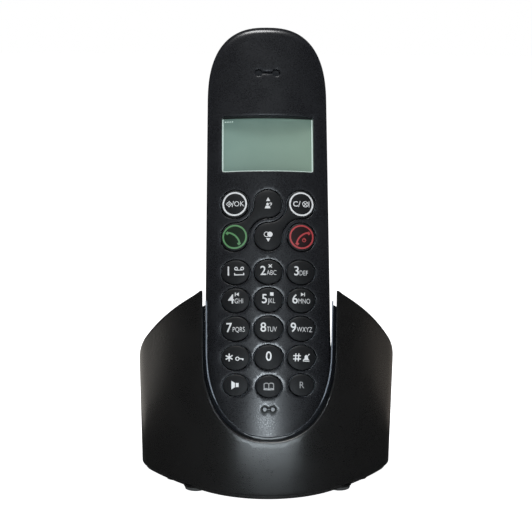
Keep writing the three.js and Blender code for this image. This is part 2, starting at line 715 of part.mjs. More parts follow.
// Speaker capsule with a raised rim and a dished cone, facing the front; radius, front and back depths.
function speakerCapsule(radius, front, back, z) {
  const depth = back - front;
  const magnet = [[0, 0], [radius * 0.8, 0], [radius, depth * 0.4], [radius, depth]];
  const cone = [[radius * 0.85, depth], [radius * 0.3, depth * 0.6], [0, depth * 0.6]];
  return movedTo(laidBack(turned([...magnet, ...cone])), 0, back, z);
}

function batteryCell(x) {
  const low = POCKET.low + 2.2;
  const tip = low + CELL_LENGTH;
  const can = [[0, low], [CELL_RADIUS, low], [CELL_RADIUS, tip - 1.2], [4.4, tip - 0.8]];
  const button = [[1.9, tip - 0.8], [1.9, tip], [0, tip]];
  return movedTo(turned([...can, ...button]), x, CELL_DEPTH, 0);
}

function batterySpring(x) {
  const coil = new THREE.CatmullRomCurve3(
    Array.from({ length: 19 }, (_, i) => {
      const angle = (i * Math.PI) / 4;
      const radius = 3.2 - 0.07 * i;
      return new THREE.Vector3(radius * Math.cos(angle), radius * Math.sin(angle), 0.35 + i * 0.06);
    }),
  );
  const section = new THREE.Shape(ellipse(0, 0, 0.4, 0.4, 5));
  const wire = new THREE.ExtrudeGeometry(section, { steps: 27, extrudePath: coil, bevelEnabled: false });
  return solid(wire.translate(x, CELL_DEPTH, POCKET.low + 0.2));
}

const batteryContactPlate = () =>
  box(-10.4, CELL_DEPTH - 4, POCKET.high - 0.8, 10.4, CELL_DEPTH + 4, POCKET.high - 0.3);

const chargeStrip = (x) => slab(stripOutline(x, 0), THICKNESS - 0.7, THICKNESS - 0.1);

// A screw along y with its head at the back.
function caseScrew(x) {
  const outline = [[0, 0], [2.1, 0], [2.1, 1.2], [1.1, 1.5], [1.1, 13], [0, 14]];
  const screw = cut(turned(outline, 10), ...crossSlot(1.3, 0.6));
  return movedTo(laidBack(screw), x, CASE_SCREW.head, CASE_SCREW.z);
}

// ---- assembly ----
const base = new THREE.Group();
base.add(node("base_shell", baseShell(), casePlastic));
base.add(node("cradle_liner", cradleLiner(), linerPlastic));
base.add(node("base_tray", baseTray(), casePlastic));
for (const [corner, place] of Object.entries(FEET)) {
  base.add(node("rubber_foot_" + corner, rubberFoot(place), rubber));
}
for (const [corner, place] of Object.entries(SCREWS)) {
  base.add(node("base_screw_" + corner, baseScrew(place), steel));
}
base.add(node("base_circuit_board", baseCircuitBoard(), board));
base.add(node("base_antenna", aerial(-25, componentZ, 22, 9, 16), brass));
base.add(node("line_jack", lineJack(), socketPlastic));
base.add(node("power_jack", powerJack(), socketPlastic));
base.add(node("page_switch", pageSwitch(), steel));
base.add(node("page_button", pageButton(), keyPlastic));

// Everything that leans with the handset shares its frame.
const leaning = new THREE.Group();
leaning.rotation.x = -LEAN;
leaning.position.set(...SEAT);
leaning.add(node("charge_contact_left", chargeContact(-STRIP_X), steel));
leaning.add(node("charge_contact_right", chargeContact(STRIP_X), steel));

const keys = keypad();
leaning.add(node("handset_front_case", frontCase(keys), casePlastic));
leaning.add(node("handset_back_case", backCase(), casePlastic));
leaning.add(node("battery_door", doorBlock(0, DOOR.front, THICKNESS), casePlastic));
leaning.add(node("display_lens", displayLens(), lens));
leaning.add(node("display_panel", displayPanel(), lcdGlass));
leaning.add(node("display_backlight", displayBacklight(), diffuser));
leaning.add(node("handset_circuit_board", handsetBoard(), board));
leaning.add(node("key_mat", keyMat(keys), silicone));
leaning.add(node("earpiece_speaker", speakerCapsule(10, 3.2, PCB_FRONT - 0.4, EARPIECE_Z), speakerCone));
leaning.add(node("loudspeaker", speakerCapsule(10.5, 18.8, 23.2, LOUDSPEAKER_Z), speakerCone));
leaning.add(node("microphone", bar("y", 0, MICROPHONE_Z, 2.8, 2.3, 4.6, 14), steel));
leaning.add(node("handset_antenna", aerial(-13, 118, 26, 12, PCB_BACK + GAP), brass));
leaning.add(node("battery_contact_plate", batteryContactPlate(), steel));
for (const [side, sign] of [["left", -1], ["right", 1]]) {
  leaning.add(node("battery_cell_" + side, batteryCell(sign * CELL_X), cellWrap));
  leaning.add(node("battery_spring_" + side, batterySpring(sign * CELL_X), steel));
  leaning.add(node("handset_charge_strip_" + side, chargeStrip(sign * STRIP_X), steel));
  leaning.add(node("handset_screw_" + side, caseScrew(sign * CASE_SCREW.x), steel));
}
for (const key of keys) leaning.add(node(key.name, keyCap(key), keyPlastic));

const phone = new THREE.Group();
phone.add(base, leaning);
export default phone;
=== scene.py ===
"""The looks of a cordless telephone standing in its charging base.

Lengths are in millimetres until a piece is finished. The handset has its own frame:
x across, y into its depth from the face, z along its length.
"""
import math
from functools import partial

import bmesh
import bpy
import numpy as np
from mathutils import Matrix, Vector
from mathutils.geometry import delaunay_2d_cdt


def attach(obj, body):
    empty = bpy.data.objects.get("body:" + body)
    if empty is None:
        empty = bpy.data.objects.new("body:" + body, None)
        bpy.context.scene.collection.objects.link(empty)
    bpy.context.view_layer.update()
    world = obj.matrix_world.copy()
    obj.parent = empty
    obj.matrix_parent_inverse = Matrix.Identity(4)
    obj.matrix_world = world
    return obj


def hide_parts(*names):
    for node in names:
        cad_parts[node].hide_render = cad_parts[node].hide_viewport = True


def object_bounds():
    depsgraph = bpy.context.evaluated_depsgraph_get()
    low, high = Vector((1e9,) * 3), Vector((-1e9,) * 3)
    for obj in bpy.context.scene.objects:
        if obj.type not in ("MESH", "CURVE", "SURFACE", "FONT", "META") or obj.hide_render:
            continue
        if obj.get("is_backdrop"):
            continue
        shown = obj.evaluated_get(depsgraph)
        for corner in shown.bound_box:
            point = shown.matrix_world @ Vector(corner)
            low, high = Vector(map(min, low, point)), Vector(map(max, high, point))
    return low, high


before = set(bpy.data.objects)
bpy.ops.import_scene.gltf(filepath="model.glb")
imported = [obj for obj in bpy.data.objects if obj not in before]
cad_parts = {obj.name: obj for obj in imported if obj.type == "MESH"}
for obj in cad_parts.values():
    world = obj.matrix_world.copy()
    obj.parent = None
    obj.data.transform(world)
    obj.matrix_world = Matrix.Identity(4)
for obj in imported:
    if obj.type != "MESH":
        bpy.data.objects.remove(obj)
CAD_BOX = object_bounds()

MM = 0.001

# ---- driving dimensions, the same as the frame's ----
BASE_DEPTH = 87
NOSE_RADIUS = 38
NOSE_END = 40
FLANK_RADIUS = 112
FLANK_END = 57
FRONT_CORNER_RADIUS = 18
REAR_CORNER_RADIUS = 30
REAR_CORNER_END = 50
SHELL_WALL = 2.4
SHELL_BOTTOM = 3
DRAFT = math.tan(math.radians(1))
DRAFT_FROM_Z = 44  # the base's sides lean in below this height
WING_TIP_Z = 77
WING_TIP_Y = -33.5
WIDEST_Z = 44.2
CREST_RADIUS = 230
TIP_ROUND = 0.8
RIM_ROUND = 0.55  # rounding of the shell's edges
SHELF_Z = 24
SHELF_FILLET = 16
U_HALF_WIDTH = 24.2
U_BOTTOM_Z = 23.7
U_HEIGHT = 30
CHIN_POWER = 2.3
CROWN_POWER = 2.6
TRAY_INSET = 2
TRAY_BOTTOM = 1.5
TRAY_TOP = 2.7
FOOT_RADIUS = 4.2
FEET = {
    "front_left": (-27, -24.3),
    "front_right": (27, -24.3),
    "rear_left": (-27, 28),
    "rear_right": (27, 28),
}
SCREWS = {
    "front_left": (-35, -16.8),
    "front_right": (35, -16.8),
    "rear_left": (-39.3, 21.5),
    "rear_right": (39.3, 21.5),
}
SCREW_HEAD_RADIUS = 2.6
PORT_Z = 12.8
JACK_X = 18
PAGE_BUTTON_RADIUS = 4

LEAN = math.radians(20)
SEAT = (0, -38.2, 19)
LENGTH = 163.55  # 0.25 under the frame's, so that the smooth crown stays in the box of the faceted one
THICKNESS = 25.5
CHIN_HALF_WIDTH = 23.7
CHIN_HEIGHT = 24
CROWN_HALF_WIDTH = 23
CROWN_HEIGHT = 31
CASE_WALL = 1.8
PARTING = 12
SEAM = 0.3
FACE_RADIUS = 72
FRONT_ROUND = (8, 4.5)  # deep, wide
BACK_ROUND = (9, 6)
FACE_BLEND = 0.9  # how softly the crowned face turns into its rounded rim
EDGE_ROUND = 0.18
BACK_EDGE = 0.2  # rounding of the holes in the back
SHARP_ANGLE = math.radians(38)  # edges at least this steep stay sharp
WELD = 2e-6  # points closer than this, in metres, become one
WINDOW = (-17.45, 105, 17.45, 126.9)
EARPIECE_Z = 143.7
MICROPHONE_Z = 15.1
LOUDSPEAKER_Z = 122
KEY_PROUD = 0.8
KEY_EDGE_PROUD = 0.4
KEY_ROUND = 0.45
KEY_GAP = 0.35
NAV_RADIUS = 5.3
NAV_COLUMN = 12.57
NAV_ROWS = (92.3, 79.7)
NAV_RING = 4.3
NAV_RING_WIDTH = 0.6
DIGIT_COLUMN = 12.25
DIGIT_ROWS = (66.3, 55.7, 45.05, 34.25)
DIGIT_SIZE = (10.7, 9.1)
LAST_ROW = 24.1
LAST_ROW_DIP = 0.6
LAST_SIZE = (9.6, 8.1)
POCKET = (-12, 57, 12, 106)
POCKET_FLOOR = 12
POCKET_SKIN = 1.2
DOOR = (-14.5, 54.2, 14.5, 108.8)
DOOR_FRONT = 23.9
LEDGE = (-16.5, 52.2, 16.5, 110.8)
LEDGE_THICKNESS = 1.9
CASE_SCREW = (16.2, 141)
STRIP_X = 11
STRIP = (2, 12.8, 21.2)  # half width, low, high
DIGIT_HEIGHT = 3.35
DIGIT_BASE = -1.25
LETTER_HEIGHT = 1.8
ICON_Y = 2.15  # the middle of the small pictures above the letters
INK_PROUD = 0.035
LONGEST_EDGE = 0.7  # of a printed mark, so that it follows the curved surface
TINT_SUNK = 0.02
# width of the painted highlight along the display window's edges
EDGE_HIGHLIGHT_WIDTH = 0.34

HANDSET_FRAME = Matrix.Translation(Vector(SEAT) * MM) @ Matrix.Rotation(-LEAN, 4, "X")
BASE_FRAME = Matrix.Identity(4)


# ---- outlines: arrays of (across, along) points, counter-clockwise ----
def arc(cx, cy, radius, start, end, steps=12):
    angles = np.radians(np.linspace(start, end, steps + 1))
    return np.column_stack([cx + radius * np.cos(angles), cy + radius * np.sin(angles)])


def ellipse(cx, cy, width, height, steps=64):
    angles = np.linspace(0, 2 * np.pi, steps, endpoint=False)
    return np.column_stack([cx + width / 2 * np.cos(angles), cy + height / 2 * np.sin(angles)])


def circle(cx, cy, radius, steps):
    return ellipse(cx, cy, 2 * radius, 2 * radius, steps)


def rounded_rectangle(box, radius, grow=0.0, steps=6, along=1):
    """A rectangle with round corners; each straight side is cut into a number of steps."""
    x0, y0, x1, y1 = box[0] - grow, box[1] - grow, box[2] + grow, box[3] + grow
    radius = max(radius + grow, 0.05)
    corners = [
        arc(x1 - radius, y0 + radius, radius, -90, 0, steps),
        arc(x1 - radius, y1 - radius, radius, 0, 90, steps),
        arc(x0 + radius, y1 - radius, radius, 90, 180, steps),
        arc(x0 + radius, y0 + radius, radius, 180, 270, steps),
    ]
    points = []
    for corner, following in zip(corners, corners[1:] + corners[:1]):
        points.append(corner)
        share = np.linspace(0, 1, along + 1)[1:-1, None]
        points.append(corner[-1] * (1 - share) + following[0] * share)
    return np.vstack(points)


def round_hole(x, y, radius, steps):
    """A circle that can grow."""
    return lambda grow: circle(x, y, radius + grow, steps)


def square_hole(sides, radius, spare=0.0, along=1):
    """A rectangle that can grow, larger by spare to start with."""
    return lambda grow: rounded_rectangle(sides, radius, grow + spare, along=along)


def rounded_end(half_width, height, base, direction, power, steps=56):
    """Half of a superellipse with its straight side at base: direction 1 bulges up, -1 down."""
    angles = np.linspace(0, np.pi, steps + 1)
    across = np.cos(angles)
    x = half_width * np.sign(across) * np.abs(across) ** (2 / power)
    y = height * np.clip(np.sin(angles), 0, 1) ** (2 / power)
    return np.column_stack([direction * x, base + direction * y])


def between(a, b, steps):
    share = np.linspace(0, 1, steps + 1)[1:-1, None]
    return a * (1 - share) + b * share


def handset_outline(inset):
    crown_base = LENGTH - CROWN_HEIGHT
    crown = rounded_end(CROWN_HALF_WIDTH - inset, CROWN_HEIGHT - inset, crown_base, 1, CROWN_POWER)
    chin = rounded_end(CHIN_HALF_WIDTH - inset, CHIN_HEIGHT - inset, CHIN_HEIGHT, -1, CHIN_POWER)
    return np.vstack([crown, between(crown[-1], chin[0], 60), chin, between(chin[-1], crown[0], 60)])


def dog_bone(cy, reach, radius, neck, grow=0.0):
    """Two round lobes joined by a narrow neck."""
    radius = radius + grow
    half_neck = neck + grow
    centre = reach - radius + grow
    opening = math.degrees(math.asin(min(half_neck / radius, 0.98)))
    right = arc(centre, cy, radius, opening - 180, 180 - opening, 20)
    left = arc(-centre, cy, radius, opening, 360 - opening, 20)
    return np.vstack([right, left])


def distance_to(loop, points):
    """How far each point is from the nearest edge of a closed outline."""
    a = loop[None, :, :]
    edge = np.roll(loop, -1, axis=0)[None, :, :] - a
    to_point = points[:, None, :] - a
    share = np.clip((to_point * edge).sum(2) / np.maximum((edge**2).sum(2), 1e-12), 0, 1)
    return np.sqrt(((to_point - share[:, :, None] * edge) ** 2).sum(2)).min(1)


def inside(loop, points):
    """Which points lie in a closed outline."""
    x, y = points[:, 0][:, None], points[:, 1][:, None]
    ax, ay = loop[:, 0][None], loop[:, 1][None]
    bx, by = np.roll(loop[:, 0], -1)[None], np.roll(loop[:, 1], -1)[None]
    crosses = (ay > y) != (by > y)
    rise = np.where(by == ay, 1, by - ay)
    return (crosses & (x < ax + (y - ay) * (bx - ax) / rise)).sum(1) % 2 == 1


def triangulate(loops, spacing):
    """Fills the first outline, less the others, with an even grid: (all points, triangles)."""
    outer = loops[0]

    def wanted(points):
        keep = inside(outer, points)
        for hole in loops[1:]:
            keep &= ~inside(hole, points)
        return keep

    low, high = outer.min(0), outer.max(0)
    xs = np.arange(low[0] + spacing / 2, high[0], spacing)
    ys = np.arange(low[1] + spacing / 2, high[1], spacing)
    grid = np.array(np.meshgrid(xs, ys)).reshape(2, -1).T
    grid = grid[wanted(grid)]
    for loop in loops:
        grid = grid[distance_to(loop, grid) > spacing * 0.45]
    edges = []
    start = 0
    for loop in loops:
        count = len(loop)
        edges += [(start + i, start + (i + 1) % count) for i in range(count)]
        start += count
    points = np.vstack([*loops, grid])
    made = delaunay_2d_cdt([Vector(p) for p in points], edges, [], 0, 1e-5)
    source = [ids[0] if ids else -1 for ids in made[3]]
    triangles = np.array([[source[i] for i in face] for face in made[2]])
    triangles = triangles[(triangles >= 0).all(1)]
    return points, triangles[wanted(points[triangles].mean(1))]


# ---- meshes ----
def handset_place(outline, depths):
    return [(x, d, z) for (x, z), d in zip(outline, depths)]


def plan_place(outline, heights):
    return [(x, y, z) for (x, y), z in zip(outline, heights)]


def add_object(name, data):
    made = bpy.data.objects.new(name, data)
    bpy.context.scene.collection.objects.link(made)
    return made


class Surface:
    """Collects the points and faces of one piece."""

    def __init__(self, place=handset_place):
        self.place = place  # turns (across, along) points and depths into 3-D points
        self.points = []
        self.faces = []

    def ring(self, outline, depth):
        """Adds an outline at a depth, one number or one for each point; returns its indices."""
        depths = np.broadcast_to(np.asarray(depth, float), (len(outline),))
        start = len(self.points)
        self.points.extend(self.place(outline, depths))
        return np.arange(start, start + len(outline))

    def bridge(self, a, b, closed=True):
        count = len(a)
        for i in range(count if closed else count - 1):
            j = (i + 1) % count
            self.faces.append((a[i], a[j], b[j], b[i]))

    def stack(self, rings, closed=True):
        """Joins rings of (outline, depth) one after another; returns the first and last."""
        made = [self.ring(outline, depth) for outline, depth in rings]
        for a, b in zip(made, made[1:]):
            self.bridge(a, b, closed)
        return made[0], made[-1]

    def fill(self, edges, spacing, depth):
        """Fills an area with an even grid: edges are (outline, ring), the outside and then the holes.

        depth is one number, or a function that gives the depth at each point.
        """
        loops, rings = zip(*edges)
        points, triangles = triangulate(loops, spacing)
        grid = points[sum(map(len, loops)):]
        inner = self.ring(grid, depth(grid) if callable(depth) else depth)
        index = np.concatenate([*rings, inner])
        self.faces.extend(tuple(index[t]) for t in triangles)

    def solid(self, rings, first_fill, last_fill):
        """Joins rings of (outline, depth), and fills both ends by (spacing, depth)."""
        ends = zip((rings[0], rings[-1]), self.stack(rings), (first_fill, last_fill))
        for (outline, _), ring, (spacing, depth) in ends:
            self.fill([(outline, ring)], spacing, depth)

    def mesh(self, name, material):
        mesh = bpy.data.meshes.new(name)
        faces = [list(map(int, face)) for face in self.faces]
        mesh.from_pydata([Vector(point) * MM for point in self.points], [], faces)
        mesh.materials.append(material)
        return mesh

    def piece(self, name, material, body, slot, replaced=(), matrix=HANDSET_FRAME):
        """Welds and smooths the mesh, and hangs it on its body."""
        mesh = self.mesh(name, material)
        tidy = bmesh.new()
        tidy.from_mesh(mesh)
        bmesh.ops.remove_doubles(tidy, verts=tidy.verts, dist=WELD)
        bmesh.ops.recalc_face_normals(tidy, faces=tidy.faces)
        for face in tidy.faces:
            face.smooth = True
        for edge in tidy.edges:
            edge.smooth = len(edge.link_faces) != 2 or edge.calc_face_angle(0) < SHARP_ANGLE
        tidy.to_mesh(mesh)
        tidy.free()
        mesh.transform(matrix)
        piece = add_object(name, mesh)
        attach(piece, body)
        if replaced:
            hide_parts(*replaced)


# ---- materials ----
class Tree:
    """The node tree of a material or of the world."""

    def __init__(self, owner):
        owner.use_nodes = True
        self.tree = owner.node_tree

    def plug(self, sockets, values):
        """Gives sockets, by name or number, a node's output, a colour or a number."""
        for key, value in values.items():
            socket = sockets[key]
            if isinstance(value, bpy.types.NodeSocket):
                self.tree.links.new(value, socket)
            elif socket.type == "RGBA":
                socket.default_value = (*value, 1)
            else:
                socket.default_value = value

    def add(self, kind, values=None, **settings):
        node = self.tree.nodes.new("ShaderNode" + kind)
        for key, value in settings.items():
            setattr(node, key, value)
        self.plug(node.inputs, values or {})
        return node


class Nodes(Tree):
    """Builds one node material, step by step."""

    def __init__(self, name):
        self.material = bpy.data.materials.new(name)
        super().__init__(self.material)
        self.shader = self.tree.nodes["Principled BSDF"]
        self.where = self.add("TexCoord").outputs["Object"]

    def noise(self, scale, detail=2.0, roughness=0.5):
        values = {"Vector": self.where, "Scale": scale, "Detail": detail, "Roughness": roughness}
        return self.add("TexNoise", {**values, "Distortion": 0.6}).outputs["Fac"]

    def spread(self, value, low, high, start=0.3, end=0.7):
        """Maps a noise from start..end to low..high."""
        values = {"Value": value, "From Min": start, "From Max": end, "To Min": low, "To Max": high}
        return self.add("MapRange", values).outputs["Result"]

    def mix(self, share, first, second):
        """A blend of two colours; each is a colour or a node's output."""
        return self.add("Mix", {"Factor": share, 6: first, 7: second}, data_type="RGBA").outputs[2]

    def edges(self):
        """0 on flat places and up to 1 on outer edges."""
        return self.spread(self.add("NewGeometry").outputs["Pointiness"], 0, 1, 0.505, 0.58)

    def finish(self, colour, roughness, height, strength, distance, more=None):
        """Feeds the shader, with a fine relief from a height; returns the material."""
        relief = self.add("Bump", {"Height": height, "Strength": strength, "Distance": distance})
        values = {"Base Color": colour, "Roughness": roughness, "Normal": relief.outputs["Normal"]}
        self.plug(self.shader.inputs, {**values, **(more or {})})
        return self.material


def shade(level, colour):
    return tuple(level * part for part in colour)


def plastic(name, colour, worn, roughness, grain=3200, relief=0.00002, strength=0.35, specular=0.5):
    """Moulded plastic: a fine eroded grain, uneven gloss and rubbed edges."""
    made = Nodes(name)
    fine = made.noise(grain, 1.5, 0.6)
    patches = made.noise(60, 3)
    body = made.mix(made.spread(patches, 0, 1), shade(0.85, colour), shade(1.15, colour))
    speckled = made.mix(made.spread(fine, 0, 0.5, 0.45, 0.75), body, worn)
    rubbed = made.mix(made.edges(), speckled, worn)
    uneven = made.spread(fine, roughness - 0.06, roughness + 0.06)
    gloss = made.add("Math", {0: uneven, 1: made.spread(patches, -0.03, 0.03)}, operation="ADD")
    more = {"Specular IOR Level": specular}
    return made.finish(rubbed, gloss.outputs[0], fine, strength, relief, more)


def metal(name, colour, roughness):
    """Brushed sheet metal with faint long scratches and dull patches."""
    made = Nodes(name)
    stretch = made.add("Mapping", {"Vector": made.where, "Scale": (1, 1, 0.08)})
    lines = made.add("TexNoise", {"Vector": stretch.outputs["Vector"], "Scale": 900}).outputs["Fac"]
    dull = made.mix(made.noise(180, 3), shade(0.75, colour), colour)
    uneven = made.spread(lines, roughness - 0.08, roughness + 0.12)
    return made.finish(dull, uneven, lines, 0.25, 0.00001, {"Metallic": 1})


def board(name):
    """Green solder mask over copper tracks."""
    made = Nodes(name)
    pattern = {"Vector": made.where, "Scale": 260, "Mortar Size": 0.06}
    tracks = made.add("TexBrick", pattern, offset=0.5).outputs["Fac"]
    mask = made.mix(made.noise(90), (0.01, 0.07, 0.03), (0.015, 0.1, 0.04))
    printed = made.mix(tracks, mask, (0.03, 0.17, 0.07))
    return made.finish(printed, made.spread(made.noise(700), 0.3, 0.45), tracks, 0.3, 0.00003)


def printed_ink(name, colour, glow=0.08):
    """Pad-printed ink: slightly uneven and a little raised, with a painted glow, as strong as glow, that
    brightens it as if it were lit.
    """
    made = Nodes(name)
    fibre = made.noise(5200)
    uneven = made.mix(made.spread(fibre, 0, 1), shade(0.85, colour), colour)
    # painted glow: the ink gives off light of its own
    painted_glow = {"Emission Color": uneven, "Emission Strength": glow}
    return made.finish(uneven, made.spread(fibre, 0.45, 0.65), fibre, 0.2, 0.00001, painted_glow)


def clear_window(name):
    """A thin clear cover: see-through, glossier where it is seen at a slant, with faint hairlines."""
    made = Nodes(name)
    clear = made.add("BsdfTransparent", {"Color": (0.96, 0.98, 0.97)})
    gloss = made.add("BsdfGlossy", {"Roughness": made.spread(made.noise(900, 3), 0.03, 0.09)})
    slant = made.add("LayerWeight", {"Blend": 0.5})
    steep = made.add("Math", {0: slant.outputs["Facing"], 1: 5}, operation="POWER")
    share = made.spread(steep.outputs[0], 0.035, 1, 0, 1)
    mixed = made.add("MixShader", {0: share, 1: clear.outputs[0], 2: gloss.outputs[0]})
    made.plug(made.tree.nodes["Material Output"].inputs, {"Surface": mixed.outputs[0]})
    return made.material


def liquid_crystal(name):
    """The display's glass: grey green and a little lighter to its right, with painted shade that darkens it
    towards its top, a fine dot pitch, and a painted glow that lights it though it is no lamp.
    """
    made = Nodes(name)
    parts = made.add("SeparateXYZ", {0: made.where})
    low, high = [(HANDSET_FRAME @ Vector((0, 4.5 * MM, z * MM))).z for z in (WINDOW[1], WINDOW[3])]
    rise = made.spread(parts.outputs["Z"], 0, 1, low, high)
    across = made.spread(parts.outputs["X"], 0, 1, WINDOW[0] * MM, WINDOW[2] * MM)
    sheet = made.mix(across, (0.152, 0.215, 0.193), (0.178, 0.235, 0.193))
    # painted shade: darker towards the top, as if the window's frame shaded the panel
    painted_top_shade = made.mix(made.spread(rise, 0, 0.6, 0.75, 1.02), sheet, (0.1, 0.165, 0.15))
    pattern = {"Vector": made.where, "Scale": 1000, "Mortar Size": 0.02}
    pitch = made.add("TexBrick", pattern, offset=0).outputs["Fac"]
    dotted = made.mix(made.spread(pitch, 0, 0.12, 0, 1), painted_top_shade, (0.12, 0.17, 0.14))
    mottled = made.mix(made.spread(made.noise(160, 3), 0, 0.12), dotted, (0.24, 0.29, 0.25))
    # painted glow: the panel gives off light of its own, though no backlight is on
    painted_glow = {"Emission Color": mottled, "Emission Strength": 0.4}
    gloss = made.spread(made.noise(1500), 0.32, 0.46)
    return made.finish(mottled, gloss, made.noise(2500, 1), 0.1, 0.00001, painted_glow)


CASE = plastic("case_plastic", (0.006, 0.0063, 0.0074), (0.02, 0.021, 0.025), 0.3, strength=0.36)
BASE = plastic(
    "base_plastic", (0.0045, 0.0043, 0.0042), (0.0075, 0.0073, 0.0072), 0.31, strength=0.36, specular=0.75
)
# pale bluish grey that paints the highlight along the liner's black lip
PAINTED_LIP_HIGHLIGHT = plastic("lip_painted_highlight", (0.14, 0.157, 0.185), (0.2, 0.22, 0.25), 0.24, strength=0.1)
LINER = plastic("liner_plastic", (0.004, 0.0045, 0.0055), (0.009, 0.01, 0.012), 0.22, strength=0.12)
KEYS = plastic("key_plastic", (0.004, 0.0042, 0.0046), (0.014, 0.015, 0.017), 0.52, grain=3800, specular=0.22)
RUBBER = plastic("rubber", (0.012, 0.012, 0.012), (0.04, 0.04, 0.04), 0.85, grain=1500, specular=0.2)
SILICONE = plastic("silicone", (0.22, 0.24, 0.26), (0.3, 0.32, 0.34), 0.7, grain=1200)
SPEAKER = plastic("speaker_cone", (0.03, 0.03, 0.034), (0.1, 0.1, 0.1), 0.65, grain=1800)
SOCKET = plastic("socket_plastic", (0.02, 0.02, 0.022), (0.07, 0.07, 0.075), 0.45)
CELL = plastic("cell_wrap", (0.02, 0.12, 0.26), (0.1, 0.22, 0.36), 0.3, grain=900, relief=0.00001)
DIFFUSER = plastic("diffuser", (0.7, 0.74, 0.72), (0.8, 0.82, 0.8), 0.5, grain=1500)
STEEL = metal("bright_steel", (0.62, 0.63, 0.65), 0.3)
NICKEL = metal("contact_nickel", (0.7, 0.66, 0.58), 0.25)
BRASS = metal("brass", (0.78, 0.56, 0.26), 0.3)
BOARD = board("circuit_board")
WHITE_INK = printed_ink("white_ink", (0.52, 0.525, 0.53))
GREEN_INK = printed_ink("green_ink", (0.065, 0.18, 0.07))
RED_INK = printed_ink("red_ink", (0.3, 0.028, 0.032))
DIM_INK = printed_ink("dim_ink", (0.27, 0.275, 0.28))
GREY_INK = printed_ink("grey_ink", (0.2, 0.21, 0.22))
# near-black ink that paints shade: the band under the display window's top edge and the ring round the
# microphone's hole
PAINTED_SHADE_INK = printed_ink("painted_shade_ink", (0.006, 0.008, 0.008))
# pale ink with a strong painted glow: it paints the highlight along the window's lit edges, and lights the
# small dots
PAINTED_LIGHT_INK = printed_ink("painted_light_ink", (0.62, 0.7, 0.67), glow=0.75)
GREEN_TINT = plastic("green_tinted_key", (0.003, 0.009, 0.0035), (0.006, 0.018, 0.007), 0.5, specular=0.2)
RED_TINT = plastic("red_tinted_key", (0.01, 0.003, 0.0035), (0.02, 0.006, 0.007), 0.5, specular=0.2)
CLEAR = clear_window("clear_window")
CRYSTAL = liquid_crystal("liquid_crystal")


# ---- the handset's case ----
OUTLINE = handset_outline(0)


def crown_depth(x):
    return FACE_RADIUS - np.sqrt(FACE_RADIUS**2 - x**2)


def below_face(depth):
    """A surface this far below the handset's crowned face."""
    return lambda points: crown_depth(points[:, 0]) + depth


def round_depth(inset, deep, wide):
    """Depth of a rounded rim below the face, this far in from the outline."""
    left = np.clip(1 - inset / wide, 0, 1)
    return deep * (1 - np.sqrt(1 - left**2))


def soft_max(a, b):
    return (a + b + np.sqrt((a - b) ** 2 + FACE_BLEND**2)) / 2


def front_skin(points, inset=None):
    """Depth of the front case's outer surface."""
    crown = crown_depth(points[:, 0])
    inset = distance_to(OUTLINE, points) if inset is None else inset
    rim = round_depth(inset, *FRONT_ROUND)
    return np.maximum(crown, soft_max(crown, rim) - soft_max(crown, 0) + crown)


def back_skin(points, inset=None):
    inset = distance_to(OUTLINE, points) if inset is None else inset
    return THICKNESS - round_depth(inset, *BACK_ROUND)


def rim_insets(deep, wide, last, count=13):
    """Insets of the rings that follow a rounded rim, evenly spaced round it."""
    angles = np.linspace(0, np.pi / 2, count)
    insets = wide * (1 - np.cos(angles))
    return [*insets[insets < last], last]


def case_rings(skin, rounding, last, side):
    """Rings of a case half from its seam to its face; side is 1 for the front, -1 for the back."""
    seam = PARTING if side > 0 else PARTING + SEAM
    rings = [(handset_outline(EDGE_ROUND), seam)]
    rings.append((handset_outline(EDGE_ROUND / 4), seam - side * EDGE_ROUND / 4))
    rings.append((OUTLINE, seam - side * EDGE_ROUND))
    for inset in rim_insets(*rounding, last):
        outline = handset_outline(inset)
        rings.append((outline, skin(outline, np.full(len(outline), inset))))
    return rings


def hole(surface, outline, skin, floor, radius=EDGE_ROUND):
    """A hole through a case half: outline(grow) is its edge, which is rounded; returns its two end rings.

    skin gives the depth of the surface it starts on; floor is the wall's depth below that.
    """
    side = 1 if floor > 0 else -1
    rings = []
    for step in range(4):
        angle = step * math.pi / 6
        edge = outline(radius * (1 - math.sin(angle)))
        rings.append((edge, skin(edge) + side * radius * (1 - math.cos(angle))))
    rings.append((outline(0), skin(outline(0)) + floor))
    return surface.stack(rings)


def front_case(openings):
    """The front half: a closed shell with rounded openings for the keys, the window and sound."""
    made = Surface()
    last = 4.2  # the rings end, and the even grid begins, this far in from the outline
    deep, wide = FRONT_ROUND
    first, rim = made.stack(case_rings(front_skin, FRONT_ROUND, last, 1))
    ends = [hole(made, outline, front_skin, CASE_WALL) for outline in openings]
    mouths = [(outline(EDGE_ROUND), end[0]) for outline, end in zip(openings, ends)]
    made.fill([(handset_outline(last), rim), *mouths], 1.1, front_skin)

    inner = [(handset_outline(CASE_WALL), PARTING)]
    for inset in rim_insets(deep, wide - CASE_WALL / 2, last - CASE_WALL):
        outline = handset_outline(CASE_WALL + inset)
        rim_depth = round_depth(inset, deep - 1, wide - CASE_WALL / 2)
        inner.append((outline, np.maximum(rim_depth, crown_depth(outline[:, 0])) + CASE_WALL))
    inner_first, inner_rim = made.stack(inner)
    made.bridge(first, inner_first)
    mouths = [(outline(0), end[1]) for outline, end in zip(openings, ends)]
    made.fill([(handset_outline(last), inner_rim), *mouths], 3, lambda points: front_skin(points) + CASE_WALL)
    made.piece("front_case", CASE, "handset", "case_black", ["handset_front_case"])


